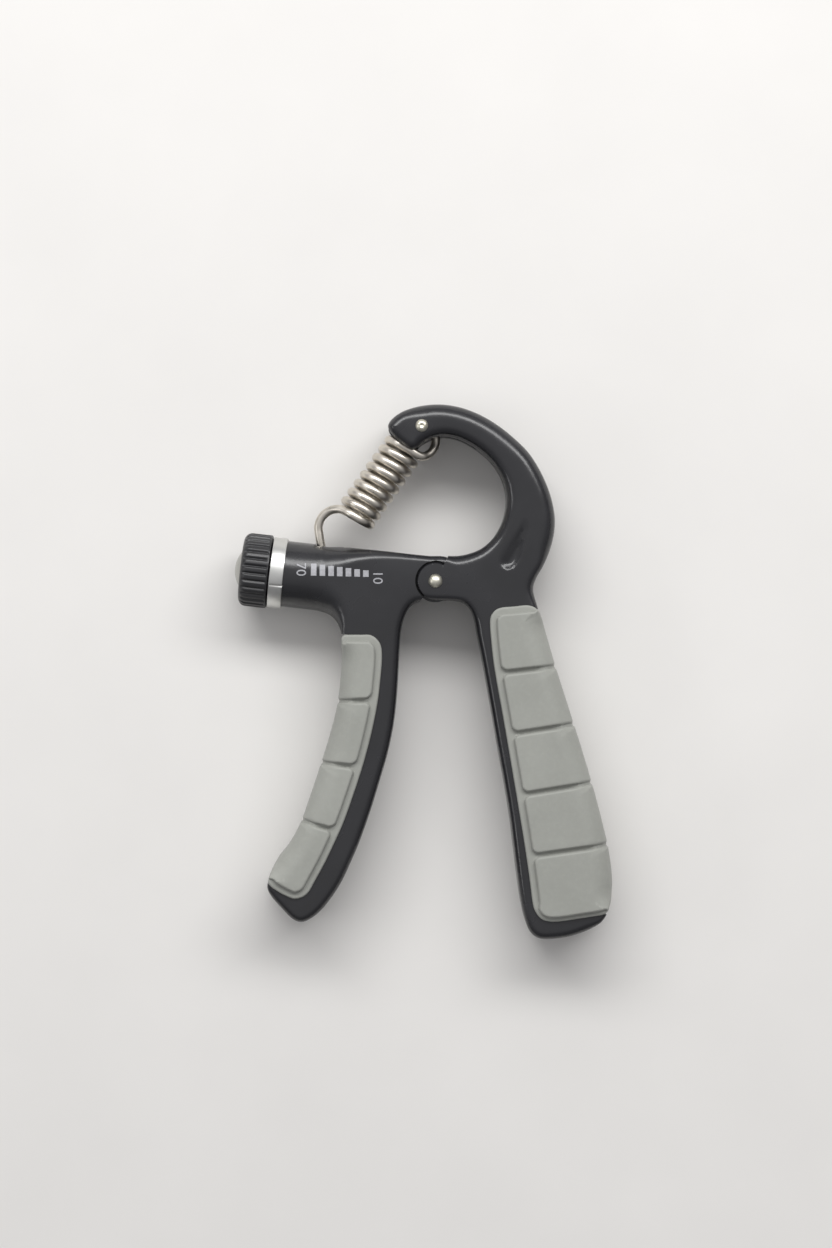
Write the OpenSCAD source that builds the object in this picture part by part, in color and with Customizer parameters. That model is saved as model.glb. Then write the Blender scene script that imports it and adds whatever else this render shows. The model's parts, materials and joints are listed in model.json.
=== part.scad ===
// Adjustable hand grip strengthener: two handles on one pivot, a tension spring between
// the palm handle's C arm and a slider, and a knob whose lead screw shifts the slider
// along the barrel, which changes the spring's lever arm. Millimetres.
// Design frame: the pivot's axis is the Z axis, z = 0 is the plane where the shells meet,
// +Y points from the grips to the C arm, and the palm handle is on the +X side.

/* [Handles] */
// Thickness of both handle bodies, front face to rear face
body_t = 19.2; // [17:0.2:23]
// Radius that rounds the rims of both handle bodies
rim_r = 1.6; // [0.8:0.1:2]
// Wall left round the hollow inside each handle
shell_wall = 2.4; // [1.6:0.1:3]
// Length of the palm handle below the pivot
palm_len = 102.7; // [92:0.1:115]
// Length of the finger handle below the pivot
finger_len = 97.9; // [88:0.1:110]
// Height of the C arm's top above the pivot
arm_rise = 50.7; // [47:0.1:58]

/* [Pads] */
// Thickness of the soft pads, front face to rear face
pad_t = 24; // [22:0.5:28]
// Thickness of the pads on the outer side of the handles
pad_wall = 3; // [2:0.1:3.6]
// Radius that rounds the rims of the pads
pad_rim_r = 2.2; // [1:0.1:2.4]
// Width of the grooves between the raised fields
groove_w = 0.9; // [0.5:0.1:1.5]
// Depth of the grooves between the raised fields
groove_depth = 0.9; // [0.4:0.1:1.4]

/* [Pivot] */
// Diameter of the pivot pin
pivot_d = 3.2; // [2.6:0.1:4]
// Diameter of the pivot pin's domed heads
pivot_head_d = 3.8; // [3.6:0.1:5]
// Outer diameter of the bush in the hub
bush_d = 5.6; // [5:0.1:6.6]
// Radius of the palm handle's ears
ear_r = 5.4; // [5:0.1:5.8]
// Width of the finger handle's hub between the ears
hub_w = 8; // [6:0.2:9]
// Thickness of the washers beside the hub
washer_t = 0.5; // [0.3:0.05:0.8]
// Angle by which the finger handle turns until the handles meet
squeeze_angle = 32; // [20:0.5:32]

/* [Barrel] */
// Diameter of the barrel
barrel_d = 19; // [18:0.2:20]
// Angle by which the barrel leans down towards the pivot
barrel_tilt = 6.5; // [4:0.5:9]
// Length of the round part of the barrel
barrel_len = 19; // [17:0.5:21]
// Diameter of the bright collar
collar_d = 20.4; // [19.6:0.1:21]
// Width of the bright collar
collar_w = 4.1; // [3:0.1:5]
// Wall of the collar
collar_wall = 1.4; // [1:0.1:2]

/* [Adjuster] */
// Diameter of the knob
knob_d = 21.2; // [19:0.2:22.6]
// Length of the knob
knob_len = 8.2; // [7.8:0.1:10]
// Number of flutes round the knob
knob_flutes = 30; // [18:1:36]
// Diameter of the bright cap
cap_d = 10.7; // [8:0.1:13]
// Height of the cap's dome
cap_rise = 1.9; // [1:0.1:2.5]
// Outside diameter of the lead screw
lead_screw_d = 5; // [4:0.1:5.4]
// Travel of the lead screw for one turn
lead_pitch = 2; // [1:0.25:2.5]
// Travel of the slider
slider_travel = 16; // [12:0.5:17]

/* [Spring] */
// Diameter of the spring wire
wire_d = 2.2; // [1.8:0.1:2.3]
// Outside diameter of the coil
coil_d = 12; // [11:0.1:13]
// Number of full turns of the coil
coil_turns = 8; // [7:1:9]
// Distance from turn to turn
coil_pitch = 3.06; // [2.8:0.02:3.4]
// Diameter of the anchor pin
anchor_d = 2.8; // [2.2:0.1:3]
// Diameter of the anchor pin's domed heads
anchor_head_d = 3.4; // [3.2:0.1:4.4]
// Diameter of the pin in the slider
hook_pin_d = 2.5; // [2:0.1:2.8]

/* [Screws] */
// Thread diameter of the shell screws
screw_d = 2.9; // [2.5:0.1:3.2]
// Head diameter of the shell screws
screw_head_d = 5; // [4.4:0.1:5.6]
// Length of the shell screws under the head
screw_len = 13; // [10:0.5:14]

/* [Hidden] */
$fn = 48;

// Clearances
fit = 0.03;          // radial, for a piece that stays put in its seat
run = 0.05;          // radial, for a piece that turns or slides
gap = 0.4;           // between faces that pass each other
pad_gap = 0.1;       // between a pad and the body it sits on

half_t = body_t / 2;
pad_half = pad_t / 2;
barrel_r = barrel_d / 2;
thread_r = lead_screw_d / 2;
wire_r = wire_d / 2;
coil_r = (coil_d - wire_d) / 2;
screw_r = screw_d / 2;
head_h = 1.7;                        // height of a shell screw's head
head_sink = 2.2;                     // depth of its counterbore
boss_wall = 1.8;                     // wall round it inside the handle
skin = 2.2;                          // face left over the hollows
hub_half = hub_w / 2;
hub_r = 6;
washer_r = 4.6;
ear_face = hub_half + washer_t + 2 * run;

// ---- Curves ---------------------------------------------------------------------------

// Point at t between p1 and p2 on the smooth curve through p0, p1, p2, p3.
function blend_point(p0, p1, p2, p3, t) =
    0.5 * (2 * p1 + (p2 - p0) * t + (2 * p0 - 5 * p1 + 4 * p2 - p3) * t * t
           + (3 * p1 - p0 - 3 * p2 + p3) * t * t * t);

// Smooth closed curve through pts, with the given number of steps between two points.
function closed_curve(pts, steps = 2) =
    let (n = len(pts))
    [for (i = [0 : n - 1], k = [0 : steps - 1])
        blend_point(pts[(i + n - 1) % n], pts[i], pts[(i + 1) % n], pts[(i + 2) % n], k / steps)];

// Smooth open curve through pts.
function open_curve(pts, steps = 2) =
    let (n = len(pts))
    concat([for (i = [0 : n - 2], k = [0 : steps - 1])
        blend_point(pts[max(i - 1, 0)], pts[i], pts[i + 1], pts[min(i + 2, n - 1)], k / steps)],
        [pts[n - 1]]);

function unit(v) = v / norm(v);
function left_of(v) = [-v[1], v[0]];

// The open curve moved sideways by d, to the left of its direction.
function beside(pts, d) =
    let (n = len(pts))
    [for (i = [0 : n - 1])
        pts[i] + d * left_of(unit(pts[min(i + 1, n - 1)] - pts[max(i - 1, 0)]))];

// The closed anticlockwise curve moved inwards by d.
function inset(pts, d) =
    let (n = len(pts))
    [for (i = [0 : n - 1])
        pts[i] + d * unit(left_of(unit(pts[(i + 1) % n] - pts[i]))
                          + left_of(unit(pts[i] - pts[(i + n - 1) % n])))];

// Stretches the points beyond y0 so that a length of nominal becomes wanted.
function stretched(pts, y0, nominal, wanted) =
    let (k = (wanted - abs(y0)) / (nominal - abs(y0)))
    [for (p = pts) (p[1] - y0) * sign(y0) > 0 ? [p[0], y0 + (p[1] - y0) * k] : p];

// Twice the area of the triangle a, b, c, above 0 where it runs anticlockwise.
function turn(a, b, c) = (b[0] - a[0]) * (c[1] - a[1]) - (b[1] - a[1]) * (c[0] - a[0]);

// Whether the corner between a and c can be cut off the outline whose corners are left.
function is_ear(pts, left, a, b, c) =
    turn(pts[a], pts[b], pts[c]) > 0
    && len([for (k = left) if (k != a && k != b && k != c && turn(pts[a], pts[b], pts[k]) >= 0
        && turn(pts[b], pts[c], pts[k]) >= 0 && turn(pts[c], pts[a], pts[k]) >= 0) k]) == 0;

// Triangles that fill an anticlockwise outline, cut off its corners one by one. The corners
// left are turned round by one or two each time, so that the triangles stay stout.
function filled(pts, left, done = [], tried = 0) =
    let (n = len(left))
    n == 3 ? concat(done, [left])
    : is_ear(pts, left, left[0], left[1], left[2]) || tried > n
        ? filled(pts, concat([for (i = [2 : n - 1]) left[i]], [left[0]]),
            concat(done, [[left[0], left[1], left[2]]]))
        : filled(pts, concat([for (i = [1 : n - 1]) left[i]], [left[0]]), done, tried + 1);

// Solid between closed rings of points that all have the same count.
module rings_solid(rings) {
    n = len(rings[0]);
    m = len(rings);
    corners = [for (i = [0 : n - 1]) i];
    polyhedron(
        points = [for (r = rings, p = r) p],
        faces = concat(
            [for (t = filled(rings[0], corners)) t],
            [for (j = [0 : m - 2], i = [0 : n - 1])
                [j * n + i, (j + 1) * n + (i + 1) % n, j * n + (i + 1) % n]],
            [for (j = [0 : m - 2], i = [0 : n - 1])
                [j * n + i, (j + 1) * n + i, (j + 1) * n + (i + 1) % n]],
            [for (t = filled(rings[m - 1], corners)) (m - 1) * n * [1, 1, 1] + [t[2], t[1], t[0]]]),
        convexity = 8);
}

function lift(pts, z) = [for (p = pts) [p[0], p[1], z]];
rim_steps = [0, 30, 60, 90];

// A flat outline that rises from z = 0 to h, with its upper rim rounded by r.
module half_form(outline, h, r) {
    rings_solid(concat(
        [lift(outline, 0)],
        [for (a = rim_steps) lift(inset(outline, r * (1 - cos(a))), h - r + r * sin(a))]));
}

// A flat outline from -h to h, with both rims rounded by r.
module full_form(outline, h, r) {
    rings_solid(concat(
        [for (a = [90, 45, 0]) lift(inset(outline, r * (1 - cos(a))), -h + r - r * sin(a))],
        [for (a = [0, 45, 90]) lift(inset(outline, r * (1 - cos(a))), h - r + r * sin(a))]));
}

// ---- Places ---------------------------------------------------------------------------

grip_top = -16;                      // height where the handles' straight stretch begins
arm_foot = 20;                       // height where the C arm's stretch begins
nominal_palm = 102.7;
nominal_finger = 97.9;
nominal_rise = 50.7;

function palm_place(pts) =
    stretched(stretched(pts, grip_top, nominal_palm, palm_len), arm_foot, nominal_rise, arm_rise);
function finger_place(pts) = stretched(pts, grip_top, nominal_finger, finger_len);

// Palm handle: inner edge from the crotch down, bottom cap, outer edge up, C arm, its
// inner edge, and the round end behind the pivot.
palm_inner = [[11.3, -11.5], [12.1, -16], [13.5, -23], [15.5, -34], [17.6, -46], [19.6, -57],
    [21.4, -68], [23, -81], [24.2, -90]];
palm_cap = [[25.4, -96], [26.8, -100], [29.2, -102.2], [32.5, -102.6], [38.5, -101.8],
    [44.6, -99.6], [48.6, -96.7]];
palm_outer = [[50.4, -92], [50.7, -85], [49.7, -77], [47.5, -67.5], [44.8, -57.5],
    [41.5, -46.5], [38, -35.5], [34.5, -24.5], [31.3, -13.5], [29.1, -7]];
arm_outer = [[28, -2.5], [28.9, 0.8], [31, 4.5], [32.9, 9], [34.1, 14], [34.2, 19], [32.9, 25],
    [30.4, 31], [27, 36.5], [22.7, 40.9], [17.5, 45], [12, 48.1], [6.5, 50], [1, 50.7],
    [-4.5, 50.2], [-9.2, 48.7], [-12.3, 46.6]];
arm_tip = [[-13.6, 44.4], [-12.6, 42.2], [-9.9, 39.6], [-7.5, 38], [-5.6, 38.1]];
arm_inner = [[-3.6, 39.6], [-0.6, 41.1], [2.8, 41.6], [6.7, 40.8], [10.5, 38.9], [14.3, 36.1],
    [17.3, 32.7], [19.5, 28.5], [20.4, 24], [20.1, 20], [18.8, 16], [16.5, 12.3], [13.3, 9.4],
    [9.5, 7.8], [6, 7.2]];
palm_end = [[2.5, 7.2], [-1.5, 6.9], [-4.8, 5], [-6.5, 1.5], [-6.2, -2.4], [-3.8, -4.9],
    [0, -5.5], [4.5, -5.6], [7.9, -6.2], [10.1, -8.2]];
palm_outline = closed_curve(palm_place(concat(
    palm_inner, palm_cap, palm_outer, arm_outer, arm_tip, arm_inner, palm_end)));

// Finger handle: top edge to the left, outer edge down, end face, inner edge up, and the
// round end about the pivot.
finger_top = [[3, 6.9], [-2, 7.2], [-7, 7.7], [-12, 8.3], [-17.5, 8.9], [-22.5, 9.1]];
finger_back = [[-25.2, 7], [-26, 2.5], [-26.5, -4], [-27.1, -10]];
finger_outer = [[-26.7, -16], [-26.9, -23], [-27.4, -29.5], [-28.2, -35.5], [-30, -43],
    [-32.6, -51.5], [-35.4, -60], [-38.6, -69], [-41.8, -75], [-45.2, -79.5], [-47.2, -83.5]];
finger_end = [[-48.1, -87.6], [-46.8, -90.6], [-43.8, -94], [-40.8, -96.9], [-38.2, -97.7],
    [-35.4, -96.5]];
finger_inner = [[-32.5, -94.1], [-29.5, -90.3], [-26.8, -86], [-24, -80], [-21.6, -74.3],
    [-18.5, -65.5], [-15.9, -57], [-13.6, -49], [-11.9, -40.5], [-11, -32], [-10.5, -23],
    [-10.1, -16], [-9.3, -11.5], [-7.6, -7.8], [-4.8, -6]];
finger_hub = [[-1, -6.2], [3, -5.8], [6, -3.2], [7, 0.5], [5.8, 4.6]];
finger_outline = closed_curve(finger_place(concat(
    finger_top, finger_back, finger_outer, finger_end, finger_inner, finger_hub)));

// Pads: the side that lies on the body's face, top to bottom, and the outer side.
palm_pad_left = [[22.5, -7.3], [18.6, -7.7], [16.6, -8.9], [15.6, -11.4], [16, -18], [17, -26], [19.5, -40],
    [22, -54.5], [25, -72.5], [26.8, -84.5], [28.3, -93.5], [29.6, -96.2], [32.2, -97.4]];
palm_pad_right = [[48.6, -94.6], [50.1, -92], [50.7, -85], [49.7, -77], [47.5, -67.5],
    [44.8, -57.5], [41.5, -46.5], [38, -35.5], [34.5, -24.5], [31.3, -13.5], [30.3, -10.3],
    [28.9, -8], [26.4, -7]];
palm_pad_outline = closed_curve(palm_place(concat(palm_pad_left, palm_pad_right)));
finger_pad_left = [[-26.8, -18.3], [-26.9, -23], [-27.4, -29.5], [-28.2, -35.5], [-30, -43],
    [-32.6, -51.5], [-35.4, -60], [-38.6, -69], [-41.8, -75], [-45.2, -79.5], [-47.1, -83.2],
    [-46.7, -86.3]];
finger_pad_right = [[-42.8, -89.9], [-40.4, -90.8], [-38, -90.3], [-36.2, -88.8], [-34.6, -86],
    [-31.5, -80.3], [-28.8, -74.6], [-26.3, -69], [-23.1, -60], [-20.4, -51.5], [-18.2, -43],
    [-16.6, -35], [-15.8, -28.5], [-15.3, -22], [-15.8, -18], [-18.2, -15.6], [-21.4, -15.4],
    [-24, -15.5], [-25.9, -16.4]];
finger_pad_outline = closed_curve(finger_place(concat(finger_pad_left, finger_pad_right)));

// Grooves of the pads, from the inner end to the outer end.
palm_grooves = palm_place([[18.8, -26.3], [33.8, -24.6], [21.6, -43.8], [39.7, -41],
    [24.4, -61.1], [44, -57.9], [27, -78.6], [48.2, -75.6]]);
finger_grooves = finger_place([[-18.6, -34.1], [-27.8, -34.5], [-23.3, -53], [-32.7, -52],
    [-29.5, -71], [-38.2, -68.6]]);

// Shell screws.
palm_screw_at = palm_place([[24.3, 31.5], [15, -0.5], [26.5, -36], [35.5, -82]]);
finger_screw_at = finger_place([[-18, -9.5], [-21.3, -36], [-31, -69]]);

// Dish in the foot of the C arm.
dish = closed_curve([[18.6, 3.4], [17.9, 5.6], [18.3, 8.6], [20, 12.2], [22.6, 15.6],
    [25.4, 18.6], [26.1, 18.3], [25.5, 14.8], [24.4, 10.8], [23.9, 7], [23, 4.2], [20.9, 2.5]]);
dish_depth = 0.8;

// Barrel frame: s runs along its axis from the collar's inner face towards the pivot, and
// n is square to it, up towards the spring.
barrel_at = [-43.4, 2.2];
axis_dir = [cos(barrel_tilt), -sin(barrel_tilt)];
axis_up = [sin(barrel_tilt), cos(barrel_tilt)];
function barrel_point(s, n) = barrel_at + s * axis_dir + n * axis_up;
module on_barrel(s = 0, n = 0) {
    p = barrel_point(s, n);
    translate([p[0], p[1], 0]) rotate([0, 0, -barrel_tilt]) children();
}
// A turned shape about the barrel's axis, drawn with X as s.
module along_barrel(s0, s1, r) {
    on_barrel(s0) rotate([0, 90, 0]) cylinder(r = r, h = s1 - s0);
}

pin_s = 12.5;                        // slider pin at rest, along the barrel
pin_n = 6.8;                         // slider pin above the barrel's axis
hook_at = barrel_point(pin_s, pin_n);
anchor_at = palm_place([[-3.9, 44.4]])[0];

nut_af = 7;
nut_len = 3.9;
cheek_gap = wire_d + 0.7;
cheek_t = 1.9;
cheek_half = cheek_gap / 2 + cheek_t;
cheek_s = 2.9;                       // half length of a cheek
block_left = 8.5;                    // block's length on the knob's side of its pin
block_right = 3.8;
block_half = nut_af / sqrt(3) + 0.6;
channel_half = block_half + 0.15;
bearing_len = 1.5;                   // bearing's length inside the barrel
bearing_r = 6.5;
clip_t = 0.7;
clip_r = 4.2;
clip_mouth = 3.2;
neck_r = thread_r - 0.6;             // bottom of the lead screw's groove
channel_s0 = pin_s - block_left - gap;
channel_s1 = pin_s + slider_travel + block_right + gap;
slot_s0 = pin_s - cheek_s - 1.2;
slot_s1 = pin_s + slider_travel + cheek_s + gap;
tail_len = 3;
tail_r = 1.75;
collar_r = collar_d / 2;
spigot_r = collar_r - collar_wall;
knob_s1 = -collar_w - 0.3;
knob_s0 = knob_s1 - knob_len;
knob_r = knob_d / 2;
cap_r = cap_d / 2;
cap_seat = 1.2;

// Where the whole model stands: middle of its box, on its rear face.
dome_r = (cap_r * cap_r + cap_rise * cap_rise) / (2 * cap_rise);
box_left = barrel_point(knob_s0 - cap_rise + dome_r, 0)[0] - dome_r;
box_right = max([for (p = concat(palm_outline, palm_pad_outline)) p[0]]);
box_top = max([for (p = palm_outline) p[1]]);
box_low = min([for (p = palm_outline) p[1]]);
module stand() {
    translate([-(box_left + box_right) / 2, -(box_top + box_low) / 2, pad_half]) children();
}

// ---- Palm handle ----------------------------------------------------------------------

// Hollow of a handle between its inner edge and its core edge, less the screw bosses.
module hollow(inner, outer, bosses) {
    depth = half_t - skin;
    difference() {
        translate([0, 0, -1]) linear_extrude(depth + 1) polygon(concat(inner, outer));
        for (p = bosses) translate([p[0], p[1], -2])
            cylinder(r = screw_r + boss_wall, h = depth + 4);
    }
}

// What lies beyond the edge of a handle's core, to the right of the core's direction, over
// the pad's length. With back, the region stays that far away from the handle's body.
far_out = 15;
function pad_region(core, back) =
    let (n = len(core), d0 = unit(core[1] - core[0]), d1 = unit(core[n - 1] - core[n - 2]),
         edge = beside(core, -back))
    concat([edge[0] + back * d0], [for (i = [1 : n - 2]) edge[i]], [edge[n - 1] - back * d1],
        [edge[n - 1] - back * d1 - far_out * left_of(d1), edge[0] + back * d0 - far_out * left_of(d0)]);

// The room that a pad takes up at the outer side of a handle's shell.
module pad_seat(core) {
    translate([0, 0, -1]) linear_extrude(half_t + 2) polygon(pad_region(core, 0));
}

// The room that the handle's body takes up inside a pad.
module body_room(core) {
    difference() {
        translate([-100, -150, -half_t - pad_gap]) cube([200, 200, body_t + 2 * pad_gap]);
        translate([0, 0, -pad_half]) linear_extrude(pad_t) polygon(pad_region(core, pad_gap));
    }
}

palm_core = concat(palm_place([[46.6, -95], [47.2, -91.5]]),
    beside(open_curve(palm_place([[50.7, -85], [49.7, -77], [47.5, -67.5], [44.8, -57.5],
        [41.5, -46.5], [38, -35.5], [34.5, -24.5], [31.3, -13.5], [29.4, -8]])), pad_wall));

module palm_half() {
    difference() {
        half_form(palm_outline, half_t, rim_r);
        pad_seat(palm_core);
        palm_hollow();
        // ear: everything outside it and left of the seam goes
        ear_clearance();
        translate([0, 0, -1]) cylinder(r = hub_r + gap, h = ear_face + 1);
        cylinder(r = pivot_d / 2 + fit, h = half_t + 1);
        translate([anchor_at[0], anchor_at[1], 0]) {
            translate([0, 0, -1]) cylinder(r = anchor_d / 2 + fit, h = half_t + 2);
            tip_room();
        }
        translate([0, 0, half_t - dish_depth]) linear_extrude(dish_depth + 1) polygon(dish);
    }
}

// Corners of a wedge about the origin from angle a0 to a1, which reaches past the arm's tip.
function wedge(a0, a1, reach = 17) =
    concat([[0, 0]], [for (a = [a0 : 5 : a1]) reach * [cos(a), sin(a)]]);

// Room in the arm's tip: a round pocket and a slot for the hook, which swings about the
// anchor pin, and a wider relief for the end of the coil.
module tip_room() {
    translate([0, 0, -1]) linear_extrude(1 + cheek_gap / 2) union() {
        circle(r = bend_high + wire_r + 0.6);
        polygon(wedge(205, 365));
    }
    translate([0, 0, -2]) linear_extrude(2 + coil_d / 2 + 0.7) difference() {
        polygon(wedge(180, 295));
        circle(r = coil_end - 0.7);
    }
}

// Ring sector round the ear, with a bevel that gives the ear its rim.
seam_angle = 59;
crotch_angle = 268;
ear_bevel = 0.9;
module ear_clearance() {
    reach = 12;
    rotate([0, 0, seam_angle]) rotate_extrude(angle = crotch_angle - seam_angle)
        polygon([[ear_r, -1], [reach, -1], [reach, half_t + 1], [ear_r - ear_bevel - 0.01, half_t + 1],
            [ear_r - ear_bevel, half_t], [ear_r, half_t - ear_bevel]]);
}

module palm_hollow() {
    inner = beside(open_curve(palm_place([[13.2, -23], [15.5, -34], [17.6, -46], [19.6, -57],
        [21.4, -68], [23, -81], [24.2, -90]])), shell_wall);
    outer = beside(open_curve(palm_place([[49.8, -88], [49.7, -77], [47.5, -67.5], [44.8, -57.5],
        [41.5, -46.5], [38, -35.5], [34.5, -24.5], [33.6, -22]])), pad_wall + shell_wall);
    hollow(inner, outer, [palm_screw_at[2], palm_screw_at[3]]);
}

module palm_front_shell() {
    color("#3d3d40") difference() {
        palm_half();
        for (p = palm_screw_at) translate([p[0], p[1], -1]) cylinder(r = screw_r + fit, h = half_t - 1);
    }
}

module palm_rear_shell() {
    color("#343437") mirror([0, 0, 1]) difference() {
        palm_half();
        for (p = palm_screw_at) screw_seat(p);
    }
}

module screw_seat(p) {
    translate([p[0], p[1], -1]) cylinder(r = screw_r + fit, h = half_t + 2);
    translate([p[0], p[1], half_t - head_sink]) cylinder(r = screw_head_d / 2 + 0.1, h = head_sink + 1);
}

// Screws from the rear: head in its counterbore, thread up into the front shell.
module shell_screws(places) {
    for (p = places) translate([p[0], p[1], 0]) mirror([0, 0, 1]) {
        translate([0, 0, half_t - head_sink - screw_len]) cylinder(r = screw_r, h = screw_len + 0.01);
        translate([0, 0, half_t - head_sink]) difference() {
            cylinder(r = screw_head_d / 2, h = head_h);
            translate([0, 0, head_h / 2]) for (a = [0, 90]) rotate([0, 0, a])
                translate([-screw_head_d / 3, -0.35, 0]) cube([2 * screw_head_d / 3, 0.7, head_h]);
        }
    }
}

module palm_screws() { color("#8d8f92") shell_screws(palm_screw_at); }

// A groove over the front, the outer side and the rear of a pad, from a to b.
module groove(a, b) {
    d = b - a;
    reach = norm(d) - groove_depth;
    translate([a[0], a[1], 0]) rotate([0, 0, atan2(d[1], d[0])]) {
        for (k = [0, 1]) mirror([0, 0, k])
            translate([0, -groove_w / 2, pad_half - groove_depth]) cube([norm(d) + 5, groove_w, 5]);
        translate([reach, -groove_w / 2, -pad_half]) cube([5, groove_w, pad_t]);
    }
}

module palm_pad() {
    color("#9fa299") difference() {
        full_form(palm_pad_outline, pad_half, pad_rim_r);
        body_room(palm_core);
        for (i = [0 : 2 : len(palm_grooves) - 2]) groove(palm_grooves[i], palm_grooves[i + 1]);
    }
}

// Pin with two domed heads.
module domed_pin(r, head_r, dome) {
    cylinder(r = r, h = body_t, center = true);
    for (k = [0, 1]) mirror([0, 0, k]) translate([0, 0, half_t - 0.01]) intersection() {
        ball = (head_r * head_r + dome * dome) / (2 * dome);
        translate([0, 0, dome - ball]) sphere(r = ball);
        cylinder(r = head_r, h = dome + 1);
    }
}

module anchor_pin() {
    color("#c9c6b4") translate([anchor_at[0], anchor_at[1], 0])
        domed_pin(anchor_d / 2, anchor_head_d / 2, 1);
}

module pivot_pin() { color("#c9c6b4") domed_pin(pivot_d / 2, pivot_head_d / 2, 1.2); }

module pivot_washers() {
    color("#d8d8d4") for (k = [0, 1]) mirror([0, 0, k]) translate([0, 0, hub_half + run])
        difference() {
            cylinder(r = washer_r, h = washer_t);
            translate([0, 0, -1]) cylinder(r = pivot_d / 2 + run, h = washer_t + 2);
        }
}

// ---- Finger handle --------------------------------------------------------------------

finger_core = concat(
    beside(open_curve(finger_place([[-26.7, -15.2], [-26.9, -23], [-27.4, -29.5], [-28.2, -35.5],
        [-30, -43], [-32.6, -51.5], [-35.4, -60], [-38.6, -69], [-41.8, -75], [-44.5, -78.5]])),
        pad_wall),
    finger_place([[-43.7, -83.2], [-44, -86.9]]));

module finger_hollow() {
    outer = beside(open_curve(finger_place([[-27, -22], [-27.4, -29.5], [-28.2, -35.5], [-30, -43],
        [-32.6, -51.5], [-35.4, -60], [-38.6, -69], [-41.5, -76]])), pad_wall + shell_wall);
    inner = beside(open_curve(finger_place([[-24, -80], [-21.6, -74.3], [-18.5, -65.5], [-15.9, -57],
        [-13.6, -49], [-11.9, -40.5], [-11, -32], [-10.5, -22]])), shell_wall);
    hollow(outer, inner, [finger_screw_at[1], finger_screw_at[2]]);
}

// Wedge that blends the barrel's underside into the lever.
module barrel_gusset() {
    linear_extrude(half_t - 3) polygon(open_curve([[-25, -4], [-35, -6.5], [-33.8, -8.3],
        [-31, -9.2], [-28.8, -11], [-27.5, -14.5], [-25, -16]], 3));
}

module finger_half() {
    difference() {
        union() {
            half_form(finger_outline, half_t, rim_r);
            intersection() {
                union() {
                    along_barrel(0, barrel_len, barrel_r);
                    along_barrel(-collar_w, 0.1, spigot_r);
                }
                translate([-80, -40, 0]) cube([80, 80, 20]);
            }
            barrel_gusset();
        }
        pad_seat(finger_core);
        finger_hollow();
        // hub: round end, and the ear's recess above it
        hub_clearance();
        translate([0, 0, hub_half]) cylinder(r = ear_r + gap, h = half_t);
        cylinder(r = bush_d / 2 + fit, h = half_t);
        // inside of the barrel
        along_barrel(-collar_w - 1, bearing_len + 1.6 + clip_t, bearing_r + fit);
        on_barrel(channel_s0) translate([0, -channel_half, -channel_half])
            cube([channel_s1 - channel_s0, 2 * channel_half, 2 * channel_half]);
        on_barrel(slot_s0) translate([0, 0, -cheek_half - 0.3])
            cube([slot_s1 - slot_s0, barrel_r + 3, 2 * cheek_half + 0.6]);
        along_barrel(channel_s1 - 1, channel_s1 + tail_len + 0.4, tail_r + run);
    }
}

// What lies between the neck and the seam: outside the hub, and round the ear above it.
seam_gap = 4;                        // degrees left between the handles at either stop
neck_angle = crotch_angle - squeeze_angle - seam_gap;
module hub_clearance() {
    reach = 14;
    rotate([0, 0, neck_angle]) rotate_extrude(angle = 360 - neck_angle + seam_angle + seam_gap)
        polygon([[hub_r, -1], [reach, -1], [reach, half_t + 1], [ear_r - 1, half_t + 1],
            [ear_r - 1, hub_half], [hub_r, hub_half]]);
}

module finger_front_shell() {
    color("#3f3f42") difference() {
        finger_half();
        for (p = finger_screw_at) translate([p[0], p[1], -1]) cylinder(r = screw_r + fit, h = half_t - 1);
    }
}

module finger_rear_shell() {
    color("#353538") mirror([0, 0, 1]) difference() {
        finger_half();
        for (p = finger_screw_at) screw_seat(p);
    }
}

module finger_screws() { color("#8d8f92") shell_screws(finger_screw_at); }

module finger_pad() {
    color("#9fa299") difference() {
        full_form(finger_pad_outline, pad_half, pad_rim_r);
        body_room(finger_core);
        for (i = [0 : 2 : len(finger_grooves) - 2]) groove(finger_grooves[i], finger_grooves[i + 1]);
    }
}

module pivot_bush() {
    color("#b08d57") difference() {
        cylinder(r = bush_d / 2, h = hub_w, center = true);
        cylinder(r = pivot_d / 2 + run, h = hub_w + 2, center = true);
    }
}

module barrel_collar() {
    color("#d0d0d0") difference() {
        along_barrel(-collar_w, 0, collar_r);
        along_barrel(-collar_w - 1, 1, spigot_r + fit);
    }
}

module screw_bearing() {
    color("#e8e4d8") difference() {
        along_barrel(-collar_w, bearing_len, bearing_r);
        along_barrel(-collar_w - 1, bearing_len + 1, thread_r + run);
    }
}

// ---- Adjuster -------------------------------------------------------------------------

head_pocket = 2;                     // depth of the chamber for the knob screw's head
web = 0.6;                           // floor under that head
fixing_head_r = 2.7;                   // the knob screw's head, thread and length of thread
fixing_r = 1.2;
fixing_len = 3.2;
shaft_s0 = knob_s0 + cap_seat + head_pocket + web;
groove_s = bearing_len + 0.05 + washer_t + 0.05;

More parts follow.
